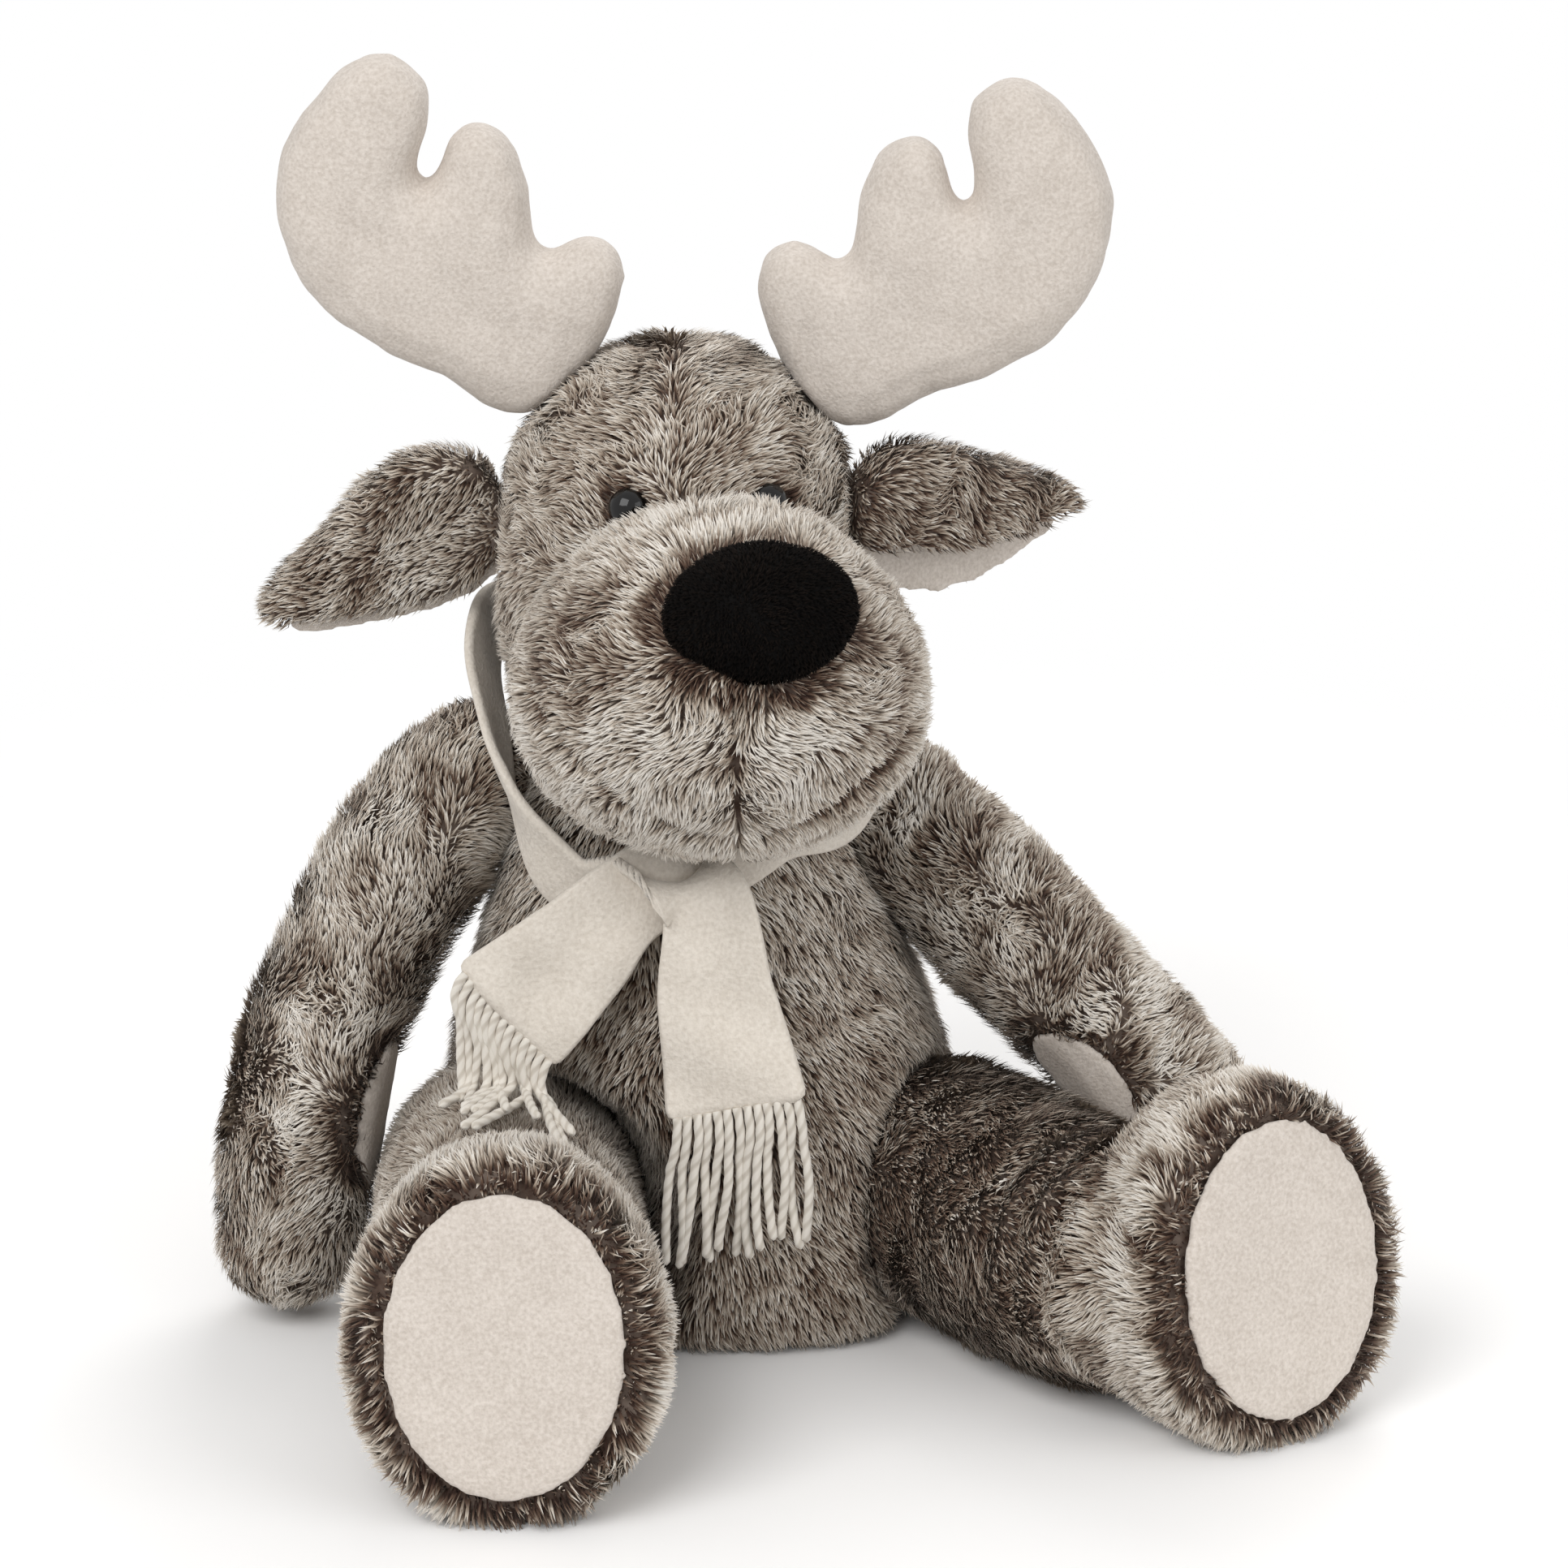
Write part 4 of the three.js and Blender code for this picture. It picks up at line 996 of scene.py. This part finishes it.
    def build_nose(self) -> None:
        """The black nose, a stuffed cushion of short dense pile, drawn in at its lower corner."""
        corner = np.array(self.nose_corner)
        dent = lambda root: 5 * MM * bump_at(np.linalg.norm(root - corner, axis=1), 0, 15 * MM)
        nose = Stuffing(voxel=1.6 * MM, relax=10, sink=-2 * MM).form("nose_velour", ["nose"], dent)
        finish_piece(nose, "head", self.finishes.black, ["nose"])
        middle = np.array(self.nose_root)
        down = lambda root: unit(root - middle) + np.array([0.3, 0.0, -0.5])
        short = Pile(length=2.6 * MM, width=0.6 * MM, spacing=0.85 * MM, rise=30 * DEGREE, seed=23)
        fur = short.grow("nose_pile", nose, down)
        finish_piece(fur, "head", self.finishes.black_pile)

    def build_antler(self, side: Side) -> None:
        """A flat stuffed antler of pale velour, a little puckered as stuffed cloth is."""
        nodes = [f"antler_cover_{side.word}", f"antler_filling_{side.word}"]
        long, short = (0.3 * MM, 32 * MM, 61), (0.12 * MM, 8 * MM, 62)
        pucker = lambda root: sum(high * waves(root, *wave) for high, *wave in (long, short))
        stuffing = Stuffing(voxel=3 * MM, relax=8, sink=-0.2 * MM, puff=1.6 * MM)
        antler = stuffing.form(f"antler_velour_{side.word}", nodes, pucker)
        finish_piece(antler, "head", self.finishes.velour, nodes[:1])

    def build_ear(self, side: Side) -> None:
        """An ear folded along its top edge: plush outside, velour in its fold."""
        word, body = side.word, f"ear_{side.word}"
        back, lining = f"ear_back_{word}", f"ear_lining_{word}"
        skin = Stuffing(voxel=2 * MM, relax=8, sink=2.2 * MM).form(f"{body}_skin", [back])
        finish_piece(skin, body, self.finishes.backing, [back])
        keep = clear_of([lining], 2.5 * MM, 4 * MM)
        comb = lambda root: np.broadcast_to(np.array([side.sign, 0.0, -0.45]), root.shape)
        # painted shade: the left ear darker than the right
        tone = {Side.RIGHT: 0.06, Side.LEFT: 0.42}[side]
        dark = lambda root: tone + 0.1 * waves(root, 26 * MM, 71)
        pile = Pile(seed=31, length=7 * MM, press=10 * MM)
        fur = pile.grow(f"{body}_pile", skin, comb, keep, dark, against=["head_cover"])
        finish_piece(fur, body, self.finishes.plush)
        fold = Stuffing(voxel=1.5 * MM, relax=5, sink=0.0).form(f"{lining}_velour", [lining])
        finish_piece(fold, body, self.finishes.velour, [lining])

    def build_eye(self, side: Side) -> None:
        """A domed eye, smooth where the frame's is faceted."""
        node = f"eye_{side.word}"
        eye = Stuffing(voxel=0.6 * MM, relax=10, sink=0.0).form(f"{node}_dome", [node])
        finish_piece(eye, "head", self.finishes.gloss, [node])


@dataclass(frozen=True)
class Tail:
    """An end of the scarf: where it starts under the chin, where it stops, and its turn."""

    top: Point
    foot: Point
    turn: float
    gather: float = 0.36

    def stations(self) -> list[tuple[Array, Array, float]]:
        """Foot, middle and top, each with its place, its way across and how far it is gathered."""
        wide = np.array([math.cos(self.turn), 0.0, -math.sin(self.turn)])
        top, foot = np.array(self.top), np.array(self.foot)
        shares = (1.0, 0.5, 0.0)
        return [(top + share * (foot - top), wide, self.gather * (1 - share)) for share in shares]


@dataclass
class Scarf:
    """A strip of fleece round the neck, folded lengthwise behind and open in its tails, which
    cross under the chin, with a fringe of yarns on each."""

    finishes: Finishes
    width: float = 50 * MM
    thick: float = 1.9 * MM
    corner: float = 5 * MM
    fold_round: float = 0.9 * MM
    neck: tuple[float, float] = (-9 * MM, 0.0)
    radius: float = 69.1 * MM
    low: float = 164 * MM
    high: float = 239.1 * MM
    lean: float = 0.45
    rise_left: tuple[float, ...] = (0, 0.3, 0.34, 0.84, 0.97, 1, 1)
    rise_right: tuple[float, ...] = (0, 0, 0.43, 0.95, 0.98, 1, 1)
    lower: Tail = Tail(
        (-20.4 * MM, -78.4 * MM, 170.3 * MM), (-67.9 * MM, -89.8 * MM, 127.9 * MM), 32 * DEGREE
    )
    upper: Tail = Tail(
        (-2 * MM, -85.7 * MM, 173 * MM), (12 * MM, -102 * MM, 98.9 * MM), -17 * DEGREE
    )
    rows: int = 280
    columns: int = 84
    yarns: int = 13
    rings: int = 44
    yarn_radius: float = 1.6 * MM
    yarn_length: float = 56 * MM
    fan: float = 12 * MM
    twists: float = 4.5
    ridge: float = 0.07
    lap: Point = (-71 * MM, 56 * MM, 47.5 * MM)

    def path(self) -> tuple[Array, Array, Array, Array]:
        """The strip's middle line, its way across, and how far it is folded and gathered."""
        stations = [(*station, 0.0) for station in self.lower.stations()]
        for k in range(1, 12):
            turn = k * 30 * DEGREE
            shares = self.rise_left if k < 6 else self.rise_right
            height = self.low + shares[min(k, 12 - k)] * (self.high - self.low)
            reach = self.radius * np.array([math.sin(turn), -math.cos(turn)])
            place = np.array([self.neck[0] + reach[0], self.neck[1] + reach[1], height])
            wide = np.array([self.lean * math.sin(turn) * math.cos(turn / 2), 0.0, -1.0])
            stations.append((place, wide, 0.0, 1.0))
        stations += [(*station, 0.0) for station in self.upper.stations()[::-1]]
        share = np.linspace(0, 1, self.rows)
        rows = (np.array([np.atleast_1d(s[k]) for s in stations]) for k in range(4))
        place, wide, gather, fold = (spline(row, share) for row in rows)
        return place, wide, np.clip(fold[:, 0], 0, 1), np.clip(gather[:, 0], 0, 1)

    def cloth(self) -> tuple[Array, Array, float]:
        """The folded strip as a closed thin body.

        Across the strip, q runs over the cut's width. The cloth's way there is at the angle
        half a turn times (1 - tanh((q - fold line) / fold round)), so that it doubles back at the
        fold line and is flat elsewhere. The fold line leaves the strip where the tails open.

        Returns:
            Its corners, its faces and its length.
        """
        place, wide, fold, gather = self.path()
        along = unit(np.gradient(place, axis=0))
        wide = across(wide, along)
        out = np.cross(along, wide)
        q = np.linspace(-0.5, 0.5, self.columns)[None, :] * self.width
        climb = 0.5 * self.width + 4.5 * self.fold_round
        line = -0.5 * self.width - 4 * self.fold_round + fold[:, None] * climb
        angle = -0.5 * math.pi * (1 - np.tanh((q - line) / self.fold_round))
        gap = self.width / (self.columns - 1)
        w = np.cumsum(np.cos(angle), 1) * gap * (1 - gather[:, None])
        t = np.cumsum(np.sin(angle), 1) * gap
        for offset in (w, t):
            offset -= 0.5 * (offset.max(1, keepdims=True) + offset.min(1, keepdims=True))
        edge = np.clip((np.abs(q) - 0.5 * self.width + self.thick) / self.thick, 0, 1)
        length = np.linalg.norm(np.diff(place, axis=0), axis=1)
        run = np.concatenate([[0], np.cumsum(length)])
        left = np.minimum(run, run[-1] - run)
        end = np.clip((self.thick - left) / self.thick, 0, 1)[:, None]
        turned = np.clip(1 - left / self.corner, 0, 1)[:, None]
        w *= 1 - (1 - np.sqrt(1 - 0.98 * turned**2)) * self.corner / (0.5 * self.width)
        taper = np.sqrt(np.clip(1 - edge**2, 0.01, 1) * np.clip(1 - end**2, 0.01, 1))
        half = self.thick * (1 - 0.45 * fold[:, None]) * taper
        centre = place[:, None] + w[..., None] * wide[:, None] + t[..., None] * out[:, None]
        soft = waves(centre.reshape(-1, 3), 26 * MM, 81).reshape(w.shape) * (1 - 0.6 * fold[:, None])
        centre = centre + (0.9 * MM * soft)[..., None] * out[:, None]
        normal = -np.sin(angle)[..., None] * wide[:, None] + np.cos(angle)[..., None] * out[:, None]
        above = centre + half[..., None] * normal
        below = centre - half[..., None] * normal
        points = np.concatenate([above, below[:, ::-1]], 1).reshape(-1, 3)
        faces = facing_out(points, tube_faces(self.rows, 2 * self.columns))
        return points, faces, float(run[-1])

    def yarn_lines(self, tail: Tail, on_lap: bool, rng: np.random.Generator) -> tuple[Array, ...]:
        """The yarns' middle lines: they fall from a tail's foot, turn plumb and fan out, and on
        a lap are pushed forwards as far as they would sink.

        Args:
            tail: the end of the scarf that they hang from.
            on_lap: whether they lie on the right thigh.
            rng: where the differences among them come from.

        Returns:
            One line a yarn, where each one's twist starts, and the way out of the cloth.
        """
        top, foot = np.array(tail.top), np.array(tail.foot)
        down = unit(foot - top)
        wide = across(np.array([math.cos(tail.turn), 0.0, -math.sin(tail.turn)]), down)
        out = np.cross(down, wide)
        share = ((np.arange(self.yarns) + 0.5) / self.yarns - 0.5)[:, None]
        s = np.linspace(0, 1, self.rings)[None, :]
        plumb = np.clip(3 * s, 0, 1)[..., None]
        fall = unit((1 - plumb) * down + plumb * np.array([0.0, 0.0, -1.0]))
        long = self.yarn_length * rng.uniform(0.92, 1.04, (self.yarns, 1))
        start = foot - 1.5 * MM * down + share[..., None] * 0.9 * self.width * wide
        line = start + (s * long)[..., None] * fall + (share * self.fan * s)[..., None] * wide
        phase = rng.uniform(0, 2 * math.pi, (self.yarns, 1))
        sway = 2.4 * MM * s * np.sin(2 * math.pi * s * rng.uniform(0.4, 0.9, (self.yarns, 1)) + phase)
        apart = 1.6 * MM * rng.normal(size=(self.yarns, 1)) * s
        line = line + sway[..., None] * wide + (0.6 * sway + apart)[..., None] * out
        if on_lap:
            x, z, reach = self.lap
            level = z + np.sqrt(np.clip(reach**2 - (line[..., 0] - x) ** 2, 0, None))
            sunk = np.clip(level - line[..., 2], 0, None)
            drift = rng.uniform(-0.7, 0.4, (self.yarns, 1)) * sunk
            line = line + np.stack([drift, -0.9 * sunk, sunk], -1)
            for _ in range(14):
                line[:, 1:-1] = 0.5 * line[:, 1:-1] + 0.25 * (line[:, :-2] + line[:, 2:])
        return line, phase, out

    def fringe(self, side: Side, tail: Tail) -> Thing:
        """A row of two-ply yarns, each of radius R (1 + ridge cos(2 (turn - twist))).

        Args:
            side: the toy's side that the fringe's frame node is named for.
            tail: the end of the scarf that it hangs from.

        Returns:
            The yarns as one piece, its map high on a ply and low in the groove.
        """
        around, on_lap = 10, side is Side.RIGHT
        line, phase, out = self.yarn_lines(tail, on_lap, np.random.default_rng(90 + int(on_lap)))
        run = unit(np.gradient(line, axis=1))
        one = across(out, run)
        two = np.cross(run, one)
        s = np.linspace(0, 1, self.rings)[None, :, None]
        turn = np.arange(around)[None, None, :] / around * 2 * math.pi
        twist = 2 * math.pi * s * self.twists + phase[..., None]
        plies = np.cos(2 * (turn - twist))
        tip = np.sqrt(np.clip(1 - np.clip((s - 0.97) / 0.03, 0, 0.98) ** 2, 0, 1))
        radius = self.yarn_radius * (1 + self.ridge * plies) * tip
        spoke = np.cos(turn)[..., None] * one[:, :, None] + np.sin(turn)[..., None] * two[:, :, None]
        points = (line[:, :, None] + radius[..., None] * spoke).reshape(self.yarns, -1, 3)
        faces = facing_out(points[0], tube_faces(self.rings, around))
        first = (np.arange(self.yarns) * self.rings * around)[:, None, None]
        faces = (faces[None] + first).reshape(-1, 4)
        thing = mesh_of(f"fringe_yarns_{side.word}", points.reshape(-1, 3), faces)
        # the map's level lets the yarn material paint shade into the groove between plies
        level = (0.5 + 0.5 * plies).ravel()[faces.ravel()]
        set_map(thing, (faces.ravel() % around) / around, level)
        return thing

    def build(self) -> None:
        """The strip and its two fringes."""
        points, faces, length = self.cloth()
        scarf = mesh_of("scarf_strip", points, faces)
        finish_piece(scarf, "torso", self.finishes.fleece, ["scarf"])
        for side, tail in ((Side.RIGHT, self.lower), (Side.LEFT, self.upper)):
            fringe, node = self.fringe(side, tail), f"fringe_{side.word}"
            finish_piece(fringe, "torso", self.finishes.yarn, [node])


@dataclass
class Studio:
    """The table, the lamps and the camera at the photograph's place."""

    aim: Point = (27.8 * MM, 0.0, 183.5 * MM)
    distance: float = 1600 * MM
    rise: float = 18 * DEGREE
    seen: float = 560.3 * MM
    sensor: float = 36.0
    world_light: float = 0.55
    table_half: float = 3.0
    clear_from: float = 0.34
    clear_to: float = 0.8

    def build(self) -> None:
        """Camera, world, table and lamps."""
        scene = bpy.context.scene
        scene.view_settings.view_transform = "Standard"
        lens = bpy.data.cameras.new("camera")
        lens.sensor_width = self.sensor
        lens.lens = self.sensor * self.distance / self.seen
        camera = bpy.data.objects.new("camera", lens)
        back = Vector((0, -math.cos(self.rise), math.sin(self.rise)))
        camera.location = Vector(self.aim) + self.distance * back
        camera.rotation_euler = (math.pi / 2 - self.rise, 0, 0)
        scene.collection.objects.link(camera)
        scene.camera = camera
        self.light()
        self.lamp("key", (-800 * MM, -1300 * MM, 1500 * MM), 1300 * MM, 23)
        self.lamp("fill", (1300 * MM, -900 * MM, 700 * MM), 1200 * MM, 8)
        self.lamp("rim", (300 * MM, 1200 * MM, 1300 * MM), 1200 * MM, 12)
        self.table()

    def light(self) -> None:
        """An even world that lights softly and shows as white behind the toy."""
        world = bpy.data.worlds.new("studio")
        bpy.context.scene.world = world
        world.use_nodes = True
        tree = world.node_tree
        ground = tree.nodes["Background"]
        ground.inputs["Color"].default_value = (1, 1, 1, 1)
        ground.inputs["Strength"].default_value = self.world_light
        white = add(tree, "ShaderNodeBackground", {"Color": (1, 1, 1, 1), "Strength": 1.0})
        terms = {0: self.seen_straight(tree), 1: ground.outputs[0], 2: white.outputs[0]}
        mix = add(tree, "ShaderNodeMixShader", terms)
        tree.links.new(mix.outputs[0], tree.nodes["World Output"].inputs["Surface"])

    def seen_straight(self, tree: Tree) -> Socket:
        """1 for rays from the camera, a mirror or through glass, and 0 for those that light."""
        path = add(tree, "ShaderNodeLightPath").outputs
        seen = path["Is Camera Ray"]
        for ray in ("Is Glossy Ray", "Is Transmission Ray"):
            seen = add(tree, "ShaderNodeMath", {0: seen, 1: path[ray]}, operation="MAXIMUM").outputs[0]
        return seen

    def lamp(self, name: str, place: Point, size: float, power: float) -> None:
        """A square soft lamp that looks at the toy."""
        light = bpy.data.lights.new(name, "AREA")
        light.size = size
        light.energy = power
        thing = bpy.data.objects.new(name, light)
        thing.location = place
        thing.rotation_euler = (Vector(self.aim) - Vector(place)).to_track_quat("-Z", "Y").to_euler()
        bpy.context.scene.collection.objects.link(thing)

    def table(self) -> None:
        """A wide pale table under the toy, which fades to the white round it."""
        wide = self.table_half
        corners = np.array([[-wide, -wide, 0], [wide, -wide, 0], [wide, wide, 0], [-wide, wide, 0]])
        table = mesh_of("table", corners - [0, 0, 0.2 * MM], np.array([[0, 1, 2, 3]]))
        inputs = {"Base Color": linear("#fbfaf9"), "Roughness": 0.9, "Specular IOR Level": 0.1}
        material, tree, shader = new_material("pale_table", inputs)
        where = add(tree, "ShaderNodeTexCoord").outputs["Object"]
        off = add(tree, "ShaderNodeVectorMath", {0: where}, operation="LENGTH").outputs["Value"]
        span = {"Value": off, "From Min": self.clear_from, "From Max": self.clear_to}
        span |= {"To Min": 1.0, "To Max": 0.0}
        alpha = add(tree, "ShaderNodeMapRange", span, interpolation_type="SMOOTHSTEP")
        tree.links.new(alpha.outputs[0], shader.inputs["Alpha"])
        table.data.materials.append(material)


def dress_inside(finishes: Finishes) -> None:
    """Gives the pieces inside, which keep the frame's shape, their own materials."""
    inside = {"filling": finishes.fibre, "bag": finishes.cotton, "washer": finishes.washer}
    for node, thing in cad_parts.items():
        for word, material in inside.items():
            if word in node:
                coat(thing, material)


def main() -> None:
    """Builds the toy, piece by piece, and the studio around it."""
    logging.basicConfig(level=logging.INFO, format="%(name)s %(message)s")
    finishes = Finishes()
    Studio().build()
    Torso(finishes).build()
    Head(finishes).build()
    arm = {"kind": "arm", "pad": "palm_pad", "finishes": finishes, "seed": 41, "patchy": 0.3}
    Limb(Side.RIGHT, way=(-0.4, -0.3, -0.85), **arm).build(["leg_cover_right", "torso_cover", "scarf"])
    Limb(Side.LEFT, way=(0.66, -0.15, -0.73), **arm).build(["leg_cover_left", "torso_cover", "scarf"])
    leg = {"kind": "leg", "pad": "sole", "finishes": finishes, "seed": 51, "patchy": 0.12}
    # shade: painted shade on the thigh, much more on the left leg
    Limb(Side.RIGHT, way=(-0.3, 0.85, -0.4), shade=0.08, **leg).build(
        ["torso_cover", "arm_cover_right", "palm_pad_right", "leg_cover_left", "fringe_right"]
    )
    Limb(Side.LEFT, way=(0.7, -0.7, -0.25), shade=0.6, folds=(50 * MM, 62 * MM, 74 * MM), **leg).build(
        ["torso_cover", "arm_cover_left", "palm_pad_left", "leg_cover_right"]
    )
    Scarf(finishes).build()
    dress_inside(finishes)


if __name__ == "__main__":
    main()
